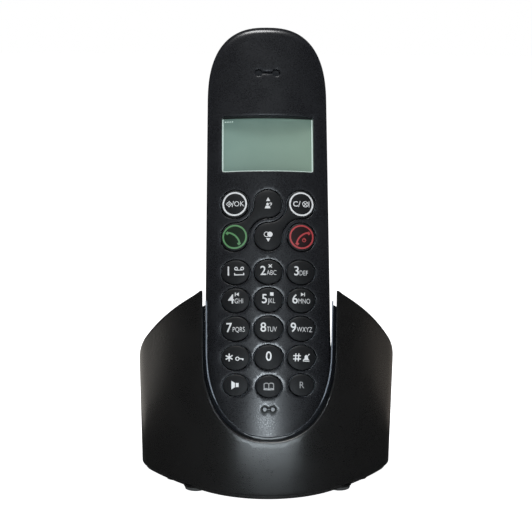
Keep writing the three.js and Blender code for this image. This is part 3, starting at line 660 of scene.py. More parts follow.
# ---- keys ----
class Key:
    def __init__(self, node, outline, centre, reach):
        self.node = node
        self.outline = outline  # outline(grow)
        self.centre = centre
        self.reach = reach  # how far its middle is from its edge

    def opening(self, grow):
        return self.outline(grow + KEY_GAP)

    def top(self, points):
        """Depth of the key's domed top."""
        share = 1 - np.clip(distance_to(self.outline(0), points) / self.reach, 0, 1)
        return crown_depth(points[:, 0]) - KEY_PROUD + (KEY_PROUD - KEY_EDGE_PROUD) * share**2

    def build(self):
        made = Surface()
        rings = [(self.outline(0), below_face(3)(self.outline(0)))]
        for angle in np.radians(np.linspace(0, 90, 5)):
            edge = self.outline(-KEY_ROUND * (1 - math.cos(angle)))
            rings.append((edge, self.top(edge) + KEY_ROUND * (1 - math.sin(angle))))
        made.solid(rings, (4, below_face(3)), (0.9, self.top))
        made.piece("cap_" + self.node, KEYS, self.node, "key_black", [self.node])

    def mark(self, name, marks, ink, centre=None, sunk=0):
        """Prints marks on the key's top; a tint is sunk a little below the ink."""
        def surface(points):
            return self.top(points) + sunk

        print_marks(name, marks, ink, self.node, surface, centre=centre or self.centre)


def oval_key(node, x, z, size):
    def outline(grow):
        return ellipse(x, z, size[0] + 2 * grow, size[1] + 2 * grow)

    return Key(node, outline, (x, z), min(size) / 2)


def pair_key(node, high_x, low_x):
    """Two round keys at opposite corners of a square, joined by a waisted bridge."""
    high_z, low_z = NAV_ROWS

    def outline(grow):
        radius = NAV_RADIUS + grow
        waist = np.array([high_x - low_x - radius, high_z - low_z - radius])
        turn = arc(0, 0, 1, 0, -90, 14)[1:-1] * waist
        back = arc(0, 0, 1, 180, 90, 14)[1:-1] * waist
        return np.vstack([
            arc(high_x, high_z, radius, -90, 180, 48),
            turn + (low_x, high_z),
            arc(low_x, low_z, radius, 90, 360, 48),
            back + (high_x, low_z),
        ])

    return Key(node, outline, None, NAV_RADIUS)


def make_keys():
    high, low = NAV_ROWS
    round_size = (2 * NAV_RADIUS, 2 * NAV_RADIUS)
    keys = [
        oval_key("key_ok", -NAV_COLUMN, high, round_size),
        oval_key("key_end_call", NAV_COLUMN, low, round_size),
        pair_key("key_up_and_talk", 0, -NAV_COLUMN),
        pair_key("key_clear_and_down", NAV_COLUMN, 0),
        oval_key("key_speaker", -DIGIT_COLUMN, LAST_ROW, LAST_SIZE),
        oval_key("key_phonebook", 0, LAST_ROW - LAST_ROW_DIP, LAST_SIZE),
        oval_key("key_recall", DIGIT_COLUMN, LAST_ROW, LAST_SIZE),
    ]
    names = ["1", "2", "3", "4", "5", "6", "7", "8", "9", "star", "0", "hash"]
    for place, name in enumerate(names):
        row, column = divmod(place, 3)
        keys.append(oval_key("key_" + name, (column - 1) * DIGIT_COLUMN, DIGIT_ROWS[row], DIGIT_SIZE))
    return {key.node: key for key in keys}


# ---- printed marks: flat shapes as (points, faces) ----
def polygon(points):
    points = np.array(points, float)
    return triangulate([points], 50)


def box(x0, y0, x1, y1):
    return polygon([(x0, y0), (x1, y0), (x1, y1), (x0, y1)])


def disc(x, y, radius):
    return polygon(circle(x, y, radius, 28))


def stroke(points, width, closed=False):
    """A line of even width through points."""
    points = np.array(points, float)
    ahead = np.roll(points, -1, axis=0) - points
    behind = points - np.roll(points, 1, axis=0)
    if not closed:
        ahead[-1] = behind[-1]
        behind[0] = ahead[0]
    ahead /= np.linalg.norm(ahead, axis=1)[:, None]
    behind /= np.linalg.norm(behind, axis=1)[:, None]
    middle = ahead + behind
    middle /= np.linalg.norm(middle, axis=1)[:, None]
    reach = width / 2 / np.clip((middle * ahead).sum(1), 0.5, 1)
    side = np.column_stack([-middle[:, 1], middle[:, 0]]) * reach[:, None]
    count = len(points)
    faces = []
    for i in range(count if closed else count - 1):
        j = (i + 1) % count
        faces.append((i + count, j + count, j, i))
    return np.vstack([points + side, points - side]), faces


def ring_mark(x, y, radius, width, steps=24):
    return stroke(circle(x, y, radius, steps), width, closed=True)


def cross(x, y, wide, high, width):
    return [stroke([(x - wide, y - high * side), (x + wide, y + high * side)], width) for side in (1, -1)]


def moved(marks, across, up=0.0):
    return [(points + (across, up), faces) for points, faces in marks]


def text_outline(text, bold):
    """A text's flat shape at unit size, from the built-in font."""
    curve = bpy.data.curves.new("text", "FONT")
    curve.body = text
    curve.offset = bold
    curve.resolution_u = 4
    holder = bpy.data.objects.new("text", curve)
    mesh = bpy.data.meshes.new_from_object(holder)
    points = np.array([v.co[:2] for v in mesh.vertices])
    mesh.calc_loop_triangles()
    faces = [tuple(t.vertices) for t in mesh.loop_triangles]
    bpy.data.objects.remove(holder)
    bpy.data.curves.remove(curve)
    bpy.data.meshes.remove(mesh)
    return points, faces


CAPITAL = text_outline("H", 0)[0][:, 1].max()


def text_mark(text, left, base, height, bold=0.0, squeeze=1.0):
    """Text with its left edge and baseline at a point; returns the shape and its right edge."""
    points, faces = text_outline(text, bold)
    scale = height / CAPITAL
    points = (points - (points[:, 0].min(), 0)) * (scale * squeeze, scale) + (left, base)
    return (points, faces), points[:, 0].max()


def split_long(points, faces, longest):
    """Cuts a flat shape's long edges, so that it can follow a curved surface."""
    shape = bmesh.new()
    corners = [shape.verts.new((*point, 0)) for point in points]
    for face in faces:
        shape.faces.new([corners[i] for i in face])
    for _ in range(5):
        long_edges = [edge for edge in shape.edges if edge.calc_length() > longest]
        if not long_edges:
            break
        bmesh.ops.subdivide_edges(shape, edges=long_edges, cuts=1)
        bmesh.ops.triangulate(shape, faces=shape.faces)
    shape.verts.index_update()
    points = np.array([corner.co[:2] for corner in shape.verts])
    faces = [tuple(corner.index for corner in face.verts) for face in shape.faces]
    shape.free()
    return points, faces


def print_marks(name, marks, material, body, depth_at, slot="key_black", centre=(0, 0)):
    """Marks printed on a surface, as thin closed prisms that stand a little proud of it."""
    made = Surface()
    for points, faces in marks:
        points, faces = split_long(points, faces, LONGEST_EDGE)
        points = points + centre
        depth = depth_at(points)
        top = made.ring(points, depth - INK_PROUD)
        low = made.ring(points, depth + INK_PROUD)
        directed = set()
        for face in faces:
            made.faces.append(tuple(top[i] for i in face))
            made.faces.append(tuple(low[i] for i in reversed(face)))
            directed.update(zip(face, (*face[1:], face[0])))
        for i, j in directed:
            if (j, i) not in directed:
                made.faces.append((top[i], low[i], low[j], top[j]))
    made.piece(name, material, body, slot)


def handset_icon(turn):
    """A telephone handset drawn as an arched bar with two blunt ends, turned by some degrees."""
    spread, drop, length = 52, 2.2, 5.2
    bend = arc(0, -drop, drop + 0.4, 90 + spread, 90 - spread)
    bend = bend * (length / 2 / (drop * math.sin(math.radians(spread))), 1)
    marks = [stroke(bend, 0.6)]
    for end, side in ((bend[0], -1), (bend[-1], 1)):
        x, y = end - (side * 0.1, 0)
        marks.append(box(x - 0.5, y - 0.75, x + 0.5, y + 0.35))
    angle = math.radians(turn)
    spin = np.array([[math.cos(angle), math.sin(angle)], [-math.sin(angle), math.cos(angle)]])
    return [(points @ spin, faces) for points, faces in marks]


def digit_marks(digit, letters):
    """A bold digit with small letters after it, centred together."""
    mark, right = text_mark(digit, 0, DIGIT_BASE, DIGIT_HEIGHT, bold=0.008, squeeze=0.95)
    marks = [mark]
    if letters:
        left = right + 0.25
        mark, right = text_mark(letters, left, DIGIT_BASE, LETTER_HEIGHT, bold=-0.008, squeeze=0.74)
        marks.append(mark)
    return moved(marks, -right / 2)


def recall_mark():
    letter, right = text_mark("R", 0, -1.2, 2.4, bold=-0.008, squeeze=0.9)
    return moved([letter], -right / 2)


def star_arm(angle):
    x, y = 1.45 * math.cos(angle), 1.45 * math.sin(angle)
    return stroke([(-2.35 - x, 0.1 - y), (-2.35 + x, 0.1 + y)], 0.44)


PAGE = [(0, -1.05), (0, 0.8), (0.5, 1.2), (1.3, 1.2), (1.75, 0.9), (1.75, -0.9), (0.9, -0.75)]

# the small picture on a digit key, or the whole mark of another key, about the key's middle
ICONS = {
    "key_1": [
        ring_mark(0.2, 1.25, 0.52, 0.3),
        ring_mark(2.5, 1.25, 0.52, 0.3),
        stroke([(0.2, 0.68), (2.5, 0.68)], 0.26),
        stroke([(-0.35, -0.4), (-0.35, -1.1), (3.05, -1.1), (3.05, -0.4)], 0.36),
    ],
    "key_2": cross(0.7, ICON_Y, 0.6, 0.6, 0.36),
    "key_4": [
        polygon([(1.25, ICON_Y - 0.7), (1.25, ICON_Y + 0.7), (0.1, ICON_Y)]),
        stroke([(-0.1, ICON_Y - 0.7), (-0.1, ICON_Y + 0.7)], 0.3),
    ],
    "key_5": [box(0.6, ICON_Y - 0.65, 1.9, ICON_Y + 0.65)],
    "key_6": [
        polygon([(-0.1, ICON_Y - 0.7), (1.05, ICON_Y), (-0.1, ICON_Y + 0.7)]),
        stroke([(1.25, ICON_Y - 0.7), (1.25, ICON_Y + 0.7)], 0.3),
    ],
    "key_star": [
        *[star_arm(math.pi / 6 * turn) for turn in (3, 1, -1)],
        ring_mark(0.7, -0.45, 0.62, 0.32),
        stroke([(1.3, -0.45), (3, -0.6)], 0.36),
        stroke([(2.7, -0.6), (2.7, -1.1)], 0.3),
    ],
    "key_hash": [
        *[stroke([(-3.2, level), (-0.3, level)], 0.36) for level in (-0.55, 0.65)],
        *[stroke([(x - 0.1, -1.45), (x + 0.15, 1.5)], 0.38) for x in (-2.3, -1.2)],
        polygon([(0.6, -0.9), (1, -0.4), (1.15, 0.6), (1.7, 1.05), (2.25, 0.6), (2.4, -0.4), (2.8, -0.9)]),
        stroke([(0.5, -1.1), (3, 1.4)], 0.28),
        stroke([(0.5, -1.3), (2.9, -1.3)], 0.3),
    ],
    "key_speaker": [
        polygon([(-1.5, -1.6), (-0.2, -0.75), (-0.2, 0.75), (-1.5, 1.6)]),
        box(0.1, -0.75, 1.15, 0.75),
    ],
    "key_phonebook": [
        *[stroke([(side * x, z) for x, z in PAGE], 0.26, closed=True) for side in (-1, 1)],
        stroke([(-1.95, -1.15), (0, -1.3), (1.95, -1.15)], 0.3),
    ],
    "key_recall": recall_mark(),
}
LETTERS = {"2": "ABC", "3": "DEF", "4": "GHI", "5": "JKL", "6": "MNO", "7": "PQRS", "8": "TUV", "9": "WXYZ"}


def print_digits(keys):
    for name in "1234567890":
        node = "key_" + name
        marks = digit_marks(name, LETTERS.get(name, ""))
        if name == "1":
            marks = moved(marks, -2.65)
        keys[node].mark("legend_" + node, marks + ICONS.get(node, []), WHITE_INK)
    for node in ("key_star", "key_hash", "key_speaker", "key_phonebook", "key_recall"):
        ink = DIM_INK if node in ("key_phonebook", "key_recall") else WHITE_INK
        keys[node].mark("legend_" + node, ICONS[node], ink)


def print_navigation(keys):
    high, low = NAV_ROWS
    talk_centre = (-NAV_COLUMN, low)
    ring = ring_mark(0, 0, NAV_RING, NAV_RING_WIDTH, 96)
    tint = [disc(0, 0, NAV_RING - 0.2)]
    ok, up, down, end = [keys["key_" + name] for name in ("ok", "up_and_talk", "clear_and_down", "end_call")]

    diamond = stroke([(-3.1, 0), (-2.1, 1), (-1.1, 0), (-2.1, -1)], 0.26, closed=True)
    slash = stroke([(-1, -1.15), (-0.35, 1.15)], 0.26)
    word = text_mark("OK", -0.2, -0.95, 1.9, squeeze=0.95)[0]
    ok.mark("legend_key_ok", [ring, diamond, disc(-2.1, 0, 0.28), slash, word], WHITE_INK)

    arrow = polygon([(-0.8, 0.9), (0.8, 0.9), (0, 2.4)])
    person = [disc(-0.2, -0.3, 0.5), polygon([(-1.3, -1.9), (-0.9, -0.9), (0.5, -0.9), (0.9, -1.9)])]
    hook = stroke([(0.5, -0.15), (0.8, 0.2), (1.25, 0.1), (1.2, -0.4), (0.85, -0.8)], 0.3)
    up.mark("legend_key_up", [arrow, *person, hook], WHITE_INK, (0, high))
    up.mark("tint_talk", tint, GREEN_TINT, talk_centre, TINT_SUNK)
    up.mark("legend_key_talk", [ring, *handset_icon(-43)], GREEN_INK, talk_centre)

    discs = [ring_mark(-0.65, 0.75, 0.9, 0.24, 32), disc(0.65, 0.75, 1.0)]
    arrow = polygon([(-0.8, -0.7), (0, -2.1), (0.8, -0.7)])
    down.mark("legend_key_down", [*discs, arrow], WHITE_INK, (0, low))
    letter = text_mark("C", -3.1, -0.95, 1.9, bold=0.015)[0]
    slash = stroke([(-1.1, -1.15), (-0.4, 1.15)], 0.26)
    crossed = [ring_mark(1.55, 0, 1.05, 0.24, 40), *cross(1.55, 0, 0.65, 0.7, 0.24)]
    bar = stroke([(2.95, -1.15), (2.95, 1.15)], 0.24)
    down.mark("legend_key_clear", [ring, letter, slash, *crossed, bar], WHITE_INK, (NAV_COLUMN, high))

    end.mark("tint_end", tint, RED_TINT, sunk=TINT_SUNK)
    power = [ring_mark(0.95, -1.25, 0.62, 0.26), stroke([(0.95, -1.25), (0.95, -0.3)], 0.26)]
    end.mark("legend_key_end_call", [ring, *handset_icon(43), *power], RED_INK)


earpiece = partial(dog_bone, EARPIECE_Z, 4.9, 1.55, 0.6)
mouthpiece = partial(dog_bone, MICROPHONE_Z, 2.7, 1.2, 0.6)
window_opening = square_hole(WINDOW, 1, along=12)
KEYPAD = make_keys()
front_case([*[key.opening for key in KEYPAD.values()], window_opening, earpiece, mouthpiece])
for key in KEYPAD.values():
    key.build()
print_digits(KEYPAD)
print_navigation(KEYPAD)


# ---- display and microphone ----
def display():
    """The clear window, and behind it a dark band of painted shade under its top edge, a pale glowing line of
    painted highlight along its other edges, and five small glowing dots.
    """
    lens = Surface()
    side = window_opening(-SEAM)
    face = window_opening(-SEAM - 0.1)
    rings = [(side, 1.5), (side, 0.6), (face, 0.5)]
    rings = [(outline, below_face(depth)(outline)) for outline, depth in rings]
    lens.solid(rings, (2, below_face(1.5)), (2, below_face(0.5)))
    lens.piece("display_window", CLEAR, "handset", "lens_clear", ["display_lens"])

    left, low, right, high = np.array(WINDOW) + (0.4, 0.4, -0.4, -0.9)
    # painted shade: a dark band along the window's top, where its upper edge shades the panel
    painted_shade_band = box(WINDOW[0] + 0.2, high, WINDOW[2] - 0.2, WINDOW[3])
    # painted highlight: a pale glowing line along the window's left, lower and right edges, where their lit
    # rims show
    painted_edge_highlight = stroke([(left, high), (left, low), (right, low), (right, high)], EDGE_HIGHLIGHT_WIDTH)
    dots = [disc(left + 0.9 + 0.7 * i, high - 1.1, 0.2) for i in range(5)]
    behind = below_face(1.6)
    print_marks("display_painted_shade", [painted_shade_band], PAINTED_SHADE_INK, "handset", behind, "case_black")
    print_marks("display_painted_edge_highlight", [painted_edge_highlight], PAINTED_LIGHT_INK, "handset", behind, "diffuser_white")
    print_marks("display_dots", dots, PAINTED_LIGHT_INK, "handset", behind, "diffuser_white")


def microphone():
    """A dark ring of painted shade round the hole's mouth, and two pale round meshes and the bar between
    them, seen through the hole.
    """
    centre = (0, MICROPHONE_Z)
    # painted shade: a dark ring printed round the hole's mouth
    rim = [stroke(mouthpiece(0.2) - centre, 0.5, closed=True)]
    print_marks("microphone_painted_shade_rim", rim, PAINTED_SHADE_INK, "handset", below_face(0), "case_black", centre)
    marks = [disc(-1.5, 0, 0.72), disc(1.5, 0, 0.72), stroke([(-0.5, 0), (0.5, 0)], 0.28)]
    print_marks("microphone_mesh", marks, GREY_INK, "handset", below_face(0.5), "speaker_grey", centre)


display()
microphone()


# ---- the handset's back ----
def back_holes(made):
    """The loudspeaker's slots, the screws' counterbores and the charging strips' seats.

    Returns the edges of all of them outside, and of the slots inside.
    """
    half, low, high = STRIP
    rows = LOUDSPEAKER_Z + 2.4 * np.arange(-2, 3)
    slots = [square_hole((-6, z - 0.6, 6, z + 0.6), 0.55, along=8) for z in rows]
    blind = [(round_hole(side * CASE_SCREW[0], CASE_SCREW[1], 2.5, 40), 2.6) for side in (-1, 1)]
    blind += [(square_hole((x - half, low, x + half, high), 0.3, SEAM), 1) for x in (-STRIP_X, STRIP_X)]
    outside, inside = [], []
    for outline in slots:
        mouth, end = hole(made, outline, back_skin, -CASE_WALL, BACK_EDGE)
        outside.append((outline(BACK_EDGE), mouth))
        inside.append((outline(0), end))
    for outline, depth in blind:
        mouth, end = hole(made, outline, back_skin, -depth, BACK_EDGE)
        outside.append((outline(BACK_EDGE), mouth))
        made.fill([(outline(0), end)], 5, back_skin(outline(0)).min() - depth)
    return outside, inside


def battery_pocket(made):
    """The door's recess and the pocket under it; returns its edges outside and inside."""
    door_edge = square_hole(DOOR, 3, SEAM, 16)
    pocket = rounded_rectangle(POCKET, 1, along=16)
    pocket_skin = rounded_rectangle(POCKET, 1, POCKET_SKIN, along=16)
    ledge = rounded_rectangle(LEDGE, 1.5, along=16)
    mouth, end = made.stack([
        (door_edge(0.35), THICKNESS),
        (door_edge(0.1), THICKNESS - 0.1),
        (door_edge(0), THICKNESS - 0.35),
        (door_edge(0), DOOR_FRONT - SEAM),
        (pocket, DOOR_FRONT - SEAM),
        (pocket, POCKET_FLOOR),
    ])
    made.fill([(pocket, end)], 6, POCKET_FLOOR)
    inner_mouth, inner_end = made.stack([
        (ledge, THICKNESS - CASE_WALL),
        (ledge, DOOR_FRONT - LEDGE_THICKNESS),
        (pocket_skin, DOOR_FRONT - LEDGE_THICKNESS),
        (pocket_skin, POCKET_FLOOR - POCKET_SKIN),
    ])
    made.fill([(pocket_skin, inner_end)], 6, POCKET_FLOOR - POCKET_SKIN)
    return (door_edge(0.35), mouth), (ledge, inner_mouth)


def back_case():
    """The back half: a closed shell with its holes and the battery's pocket."""
    made = Surface()
    last = 5.2  # the rings end, and the even grid begins, this far in from the outline
    deep, wide = BACK_ROUND
    inner_face = THICKNESS - CASE_WALL
    outside, inside = back_holes(made)
    pocket, inner_pocket = battery_pocket(made)
    first, rim = made.stack(case_rings(back_skin, BACK_ROUND, last, -1))
    made.fill([(handset_outline(last), rim), pocket, *outside], 1.8, back_skin)
    inner = [(handset_outline(CASE_WALL), PARTING + SEAM)]
    for inset in rim_insets(deep, wide - 1, last - CASE_WALL, 9):
        depth = inner_face - round_depth(inset, deep - 1, wide - 1)
        inner.append((handset_outline(CASE_WALL + inset), depth))
    inner_first, inner_rim = made.stack(inner)
    made.bridge(first, inner_first)
    made.fill([(handset_outline(last), inner_rim), inner_pocket, *inside], 4, inner_face)
    made.piece("back_case", CASE, "handset", "case_black", ["handset_back_case"])


def battery_door():
    """The sliding door with a rounded edge and a field of thumb ridges."""
    made = Surface()
    grip_low, grip_high, ridge_pitch = 88, 103, 1.5

    def outside(points):
        x, z = points[:, 0], points[:, 1]
        field = np.clip((8 - np.abs(x)) / 1.5, 0, 1) * np.clip((z - grip_low) / 1.5, 0, 1)
        field *= np.clip((grip_high - z) / 1.5, 0, 1)
        wave = 0.5 - 0.5 * np.cos(2 * np.pi * (z - grip_low) / ridge_pitch)
        return THICKNESS - 0.35 * field * wave

    edge = square_hole(DOOR, 3, along=16)
    rings = [
        (edge(0), DOOR_FRONT),
        (edge(0), THICKNESS - 0.4),
        (edge(-0.12), THICKNESS - 0.12),
        (edge(-0.4), THICKNESS),
    ]
    made.solid(rings, (4, DOOR_FRONT), (0.5, outside))
    made.piece("door_cover", CASE, "battery_door", "case_black", ["battery_door"])


back_case()
battery_door()


# ---- the base's shell ----
def heading(degrees):
    turn = math.radians(degrees)
    return np.array([math.sin(turn), -math.cos(turn)])


def plan_arcs():
    """The base's plan from the nose round the right side to the rear, as (centre, radius, from, to)."""
    nose = np.array([0, NOSE_RADIUS - BASE_DEPTH / 2])
    flank = nose + (NOSE_RADIUS - FLANK_RADIUS) * heading(NOSE_END)
    corner = flank + (FLANK_RADIUS - FRONT_CORNER_RADIUS) * heading(FLANK_END)
    rear_x = corner[0] + FRONT_CORNER_RADIUS - REAR_CORNER_RADIUS
    turn = math.radians(REAR_CORNER_END)
    back_radius = REAR_CORNER_RADIUS + rear_x / math.cos(turn)
    back_y = BASE_DEPTH / 2 - back_radius
    rear = np.array([rear_x, back_y + (back_radius - REAR_CORNER_RADIUS) * math.sin(turn)])
    arcs = [
        (nose, NOSE_RADIUS, -90, NOSE_END - 90),
        (flank, FLANK_RADIUS, NOSE_END - 90, FLANK_END - 90),
        (corner, FRONT_CORNER_RADIUS, FLANK_END - 90, 0),
        (corner + (FRONT_CORNER_RADIUS, 0), None, 0, 0),  # the straight side
        (rear, REAR_CORNER_RADIUS, 0, REAR_CORNER_END),
        (np.array([0, back_y]), back_radius, REAR_CORNER_END, 90),
    ]
    side = rear[1] - corner[1]
    lengths = [math.radians(end - start) * radius if radius else side for _, radius, start, end in arcs]
    return arcs, lengths


ARCS, ARC_LENGTHS = plan_arcs()
HALF_WAY = sum(ARC_LENGTHS)  # along the plan from the nose to the middle of the rear
BACK_RADIUS = ARCS[-1][1]


def plan_point(along, inset):
    """Points of the plan, this far along it from the nose and this far in from it."""
    along = np.asarray(along, float)
    inset = np.broadcast_to(np.asarray(inset, float), along.shape)
    mirrored = along > HALF_WAY
    left = np.clip(np.where(mirrored, 2 * HALF_WAY - along, along), 0, HALF_WAY)
    points = np.zeros((len(along), 2))
    start = 0
    for (centre, radius, begin, _), length in zip(ARCS, ARC_LENGTHS):
        here = left >= start - 1e-9
        if radius is None:
            points[here] = centre + np.column_stack([-inset[here], left[here] - start])
        else:
            angle = np.radians(begin) + (left[here] - start) / radius
            reach = radius - inset[here]
            points[here] = centre + np.column_stack([reach * np.cos(angle), reach * np.sin(angle)])
        start += length
    points[mirrored, 0] *= -1
    return points


U_ALONG = NOSE_RADIUS * math.asin(U_HALF_WIDTH / NOSE_RADIUS)
SQUARE_FADE = 9  # the wall's ends turn from straight back to square with the wall over this length


def smooth(share):
    return share * share * (3 - 2 * share)


def lead(along):
    """How far along the plan the wall's inside leads its outside, which cuts the U straight back."""
    near = np.minimum(along, 2 * HALF_WAY - along)
    angle = np.minimum(near, U_ALONG) / NOSE_RADIUS
    inner = np.arcsin(np.sin(angle) * NOSE_RADIUS / (NOSE_RADIUS - SHELL_WALL))
    fade = smooth(np.clip((U_ALONG + SQUARE_FADE - near) / SQUARE_FADE, 0, 1))
    return (inner - angle) * NOSE_RADIUS * fade * np.where(along > HALF_WAY, -1, 1)


def shell_place(outline, depths):
    """(along the plan, height) and depth below the outer face, as points of the shell."""
    along, z = outline[:, 0], outline[:, 1]
    draft = DRAFT * np.clip(DRAFT_FROM_Z - z, 0, None)
    points = plan_point(along + lead(along) * np.clip(depths / SHELL_WALL, 0, 2), depths + draft)
    return [(x, y, height) for (x, y), height in zip(points, z)]


def top_edge():
    """The side profile (y, z) of the shell's top edge."""
    tip, mid = np.array([WING_TIP_Y, WING_TIP_Z]), np.array([0, WIDEST_Z])
    chord = mid - tip
    half = np.linalg.norm(chord) / 2
    normal = np.array([chord[1], -chord[0]]) / (2 * half)
    centre = tip + chord / 2 + normal * math.sqrt(CREST_RADIUS**2 - half**2)
    start = math.degrees(math.atan2(*(tip - centre)[::-1])) + 3
    end = math.degrees(math.atan2(*(mid - centre)[::-1]))
    slope = math.radians(90 - end)
    fillet_run = SHELF_FILLET * math.tan(slope / 2)
    straight = (WIDEST_Z - SHELF_Z) / math.sin(slope) - fillet_run
    fillet_y = math.cos(slope) * (straight + fillet_run) + fillet_run
    crest = arc(*centre, CREST_RADIUS, start, end, 40)
    foot = arc(fillet_y, SHELF_Z + SHELF_FILLET, SHELF_FILLET, -90 - math.degrees(slope), -90, 16)
    return np.vstack([crest, foot, [(2 * BASE_DEPTH, SHELF_Z)]])


EDGE_PROFILE = top_edge()


def edge_height(along):
    """Height of the shell's top edge behind the U, this far along the plan."""
    return np.interp(plan_point(along, 0)[:, 1], EDGE_PROFILE[:, 0], EDGE_PROFILE[:, 1])


def resample(points, step):
    """The same line with evenly spaced points."""
    lengths = np.concatenate([[0], np.cumsum(np.linalg.norm(np.diff(points, axis=0), axis=1))])
    places = np.linspace(0, lengths[-1], max(2, round(lengths[-1] / step) + 1))
    return np.column_stack([np.interp(places, lengths, points[:, axis]) for axis in (0, 1)])


def soften(points, corner, reach):
    """Rounds the corner at one point of a line, starting this far from it."""
    before, at, after = points[corner - 1], points[corner], points[corner + 1]
    start = at + (before - at) / np.linalg.norm(before - at) * reach
    end = at + (after - at) / np.linalg.norm(after - at) * reach
    share = np.linspace(0, 1, 9)[:, None]
    curve = start * (1 - share) ** 2 + at * 2 * share * (1 - share) + end * share**2
    return np.vstack([points[:corner], curve, points[corner + 1:]])


def u_curve(lift):
    """The U's edge in (along the plan, height), raised and narrowed by lift, from right to left."""
    curve = rounded_end(U_HALF_WIDTH - lift, U_HEIGHT, U_BOTTOM_Z + lift + U_HEIGHT, -1, CHIN_POWER, 80)
    curve[:, 0] = NOSE_RADIUS * np.arcsin(curve[:, 0] / NOSE_RADIUS)
    return curve


def upper_line():
    """The shell's upper edge all the way round, in (along the plan, height)."""
    right_half = u_curve(0)
    right_half = right_half[right_half[:, 0] >= -1e-9]
    sides = np.linspace(right_half[-1, 0], HALF_WAY, 160)
    crest = np.column_stack([sides, edge_height(sides)])
    line = np.vstack([right_half, crest[:1], crest[8:]])
    line = resample(soften(line, len(right_half), TIP_ROUND), 1.3)
    mirrored = line[:-1][::-1] * (-1, 1) + (2 * HALF_WAY, 0)
    return np.vstack([line, mirrored])


def sideways(line):
    """The direction to the left of an open line, at each of its points."""
    ahead = np.gradient(line, axis=0)
    ahead /= np.linalg.norm(ahead, axis=1)[:, None]
    return np.column_stack([-ahead[:, 1], ahead[:, 0]])


def shifted(line, amount, side):
    """A line across the shell moved sideways, with its ends level; side -1 moves it to its right."""
    left = sideways(line)
    left[0] = left[-1] = (0, 1)
    return line + left * amount * side


def sheet(made, top, bottom, wall, rounding, holes, spacing):
    """A curved wall between two edges, with rounded rims and holes."""
    seam_gap = spacing * 1.5
    quarter = np.radians(np.linspace(0, 90, 5))
    outer = [(rounding * (1 - math.sin(a)), rounding * (1 - math.cos(a))) for a in quarter]
    inner = [(grow, wall - depth) for grow, depth in outer[::-1]]
    rims = []
    for line, side in ((top, -1), (bottom, 1)):
        rings = [(shifted(line, grow, side), depth) for grow, depth in (*outer, *inner)]
        rims.append((rings, made.stack(rings, closed=False)))
    mouths = []
    for outline in holes:
        rings = [*[(outline(grow), depth) for grow, depth in outer], (outline(0), wall)]
        mouths.append((rings, made.stack(rings)))
    for which, depth in ((0, 0), (-1, wall)):
        top_line, bottom_line = [rings[which][0] for rings, _ in rims]
        top_ring, bottom_ring = [ends[which] for _, ends in rims]
        heights = np.arange(bottom_line[0, 1] + seam_gap, top_line[0, 1] - seam_gap / 2, seam_gap)
        right = np.column_stack([np.full(len(heights), 2 * HALF_WAY), heights])
        left = np.column_stack([np.zeros(len(heights)), heights[::-1]])
        right_ring, left_ring = made.ring(right, depth), made.ring(left, depth)
        loop = np.vstack([bottom_line, right, top_line[::-1], left])
        ring = np.concatenate([bottom_ring, right_ring, top_ring[::-1], left_ring])
        edges = [(rings[which][0], ends[which]) for rings, ends in mouths]
        made.fill([(loop, ring), *edges], spacing, depth)


def rear_along(x):
    return HALF_WAY - BACK_RADIUS * math.asin(x / BACK_RADIUS)


def base_shell():
    made = Surface(shell_place)
    bottom = np.column_stack([np.linspace(0, 2 * HALF_WAY, 200), np.full(200, float(SHELL_BOTTOM))])
    line_x = rear_along(JACK_X)
    holes = [
        round_hole(rear_along(0), PORT_Z, PAGE_BUTTON_RADIUS + SEAM, 48),
        round_hole(rear_along(-JACK_X), PORT_Z, 4.2, 48),
        square_hole((line_x - 5.6, PORT_Z - 4.4, line_x + 5.6, PORT_Z + 4.4), 0.6, along=6),
    ]
    sheet(made, upper_line(), bottom, SHELL_WALL, RIM_ROUND, holes, 1.7)
    made.piece("shell_wall", BASE, "base", "case_black", ["base_shell"], BASE_FRAME)


LIP_IN = 1.22  # the bead's middle lies this far inside the shell's U
LIP_RADIUS = 0.36
LIP_DEPTH = SHELL_WALL + 0.75
LIP_DROP = 5.2  # the bead stops this far below the wing's tip
LIP_FADE_Z = 34  # below here it is thin; it is full this much higher
LIP_FADE = 7


def cradle_lip():
    """The liner's rounded lip: a bead that follows the U just inside the shell, coloured pale to paint its
    highlight.
    """
    curve = u_curve(LIP_IN)
    if curve[0, 0] > 0:
        curve = curve[::-1]
    end = curve[-1, 0]
    top = edge_height([end])[0] - LIP_DROP
    line = resample(np.vstack([[(-end, top)], curve, [(end, top)]]), 0.9)
    left = sideways(line)
    made = Surface(shell_place)
    rings = []
    radius = LIP_RADIUS * (0.1 + 0.9 * smooth(np.clip((line[:, 1] - LIP_FADE_Z) / LIP_FADE, 0, 1)))
    for angle in np.radians(np.arange(0, 360, 30)):
        bead = line + left * (radius * math.cos(angle))[:, None]
        bead[:, 0] = np.where(bead[:, 0] < 0, 2 * HALF_WAY + bead[:, 0], bead[:, 0])
        rings.append(made.ring(bead, LIP_DEPTH + radius * math.sin(angle)))
    for ring, following in zip(rings, [*rings[1:], rings[0]]):
        made.bridge(ring, following, closed=False)
    made.faces.append(tuple(ring[0] for ring in rings))
    made.faces.append(tuple(ring[-1] for ring in reversed(rings)))
    made.piece("cradle_lip", PAINTED_LIP_HIGHLIGHT, "base", "liner_black", matrix=BASE_FRAME)


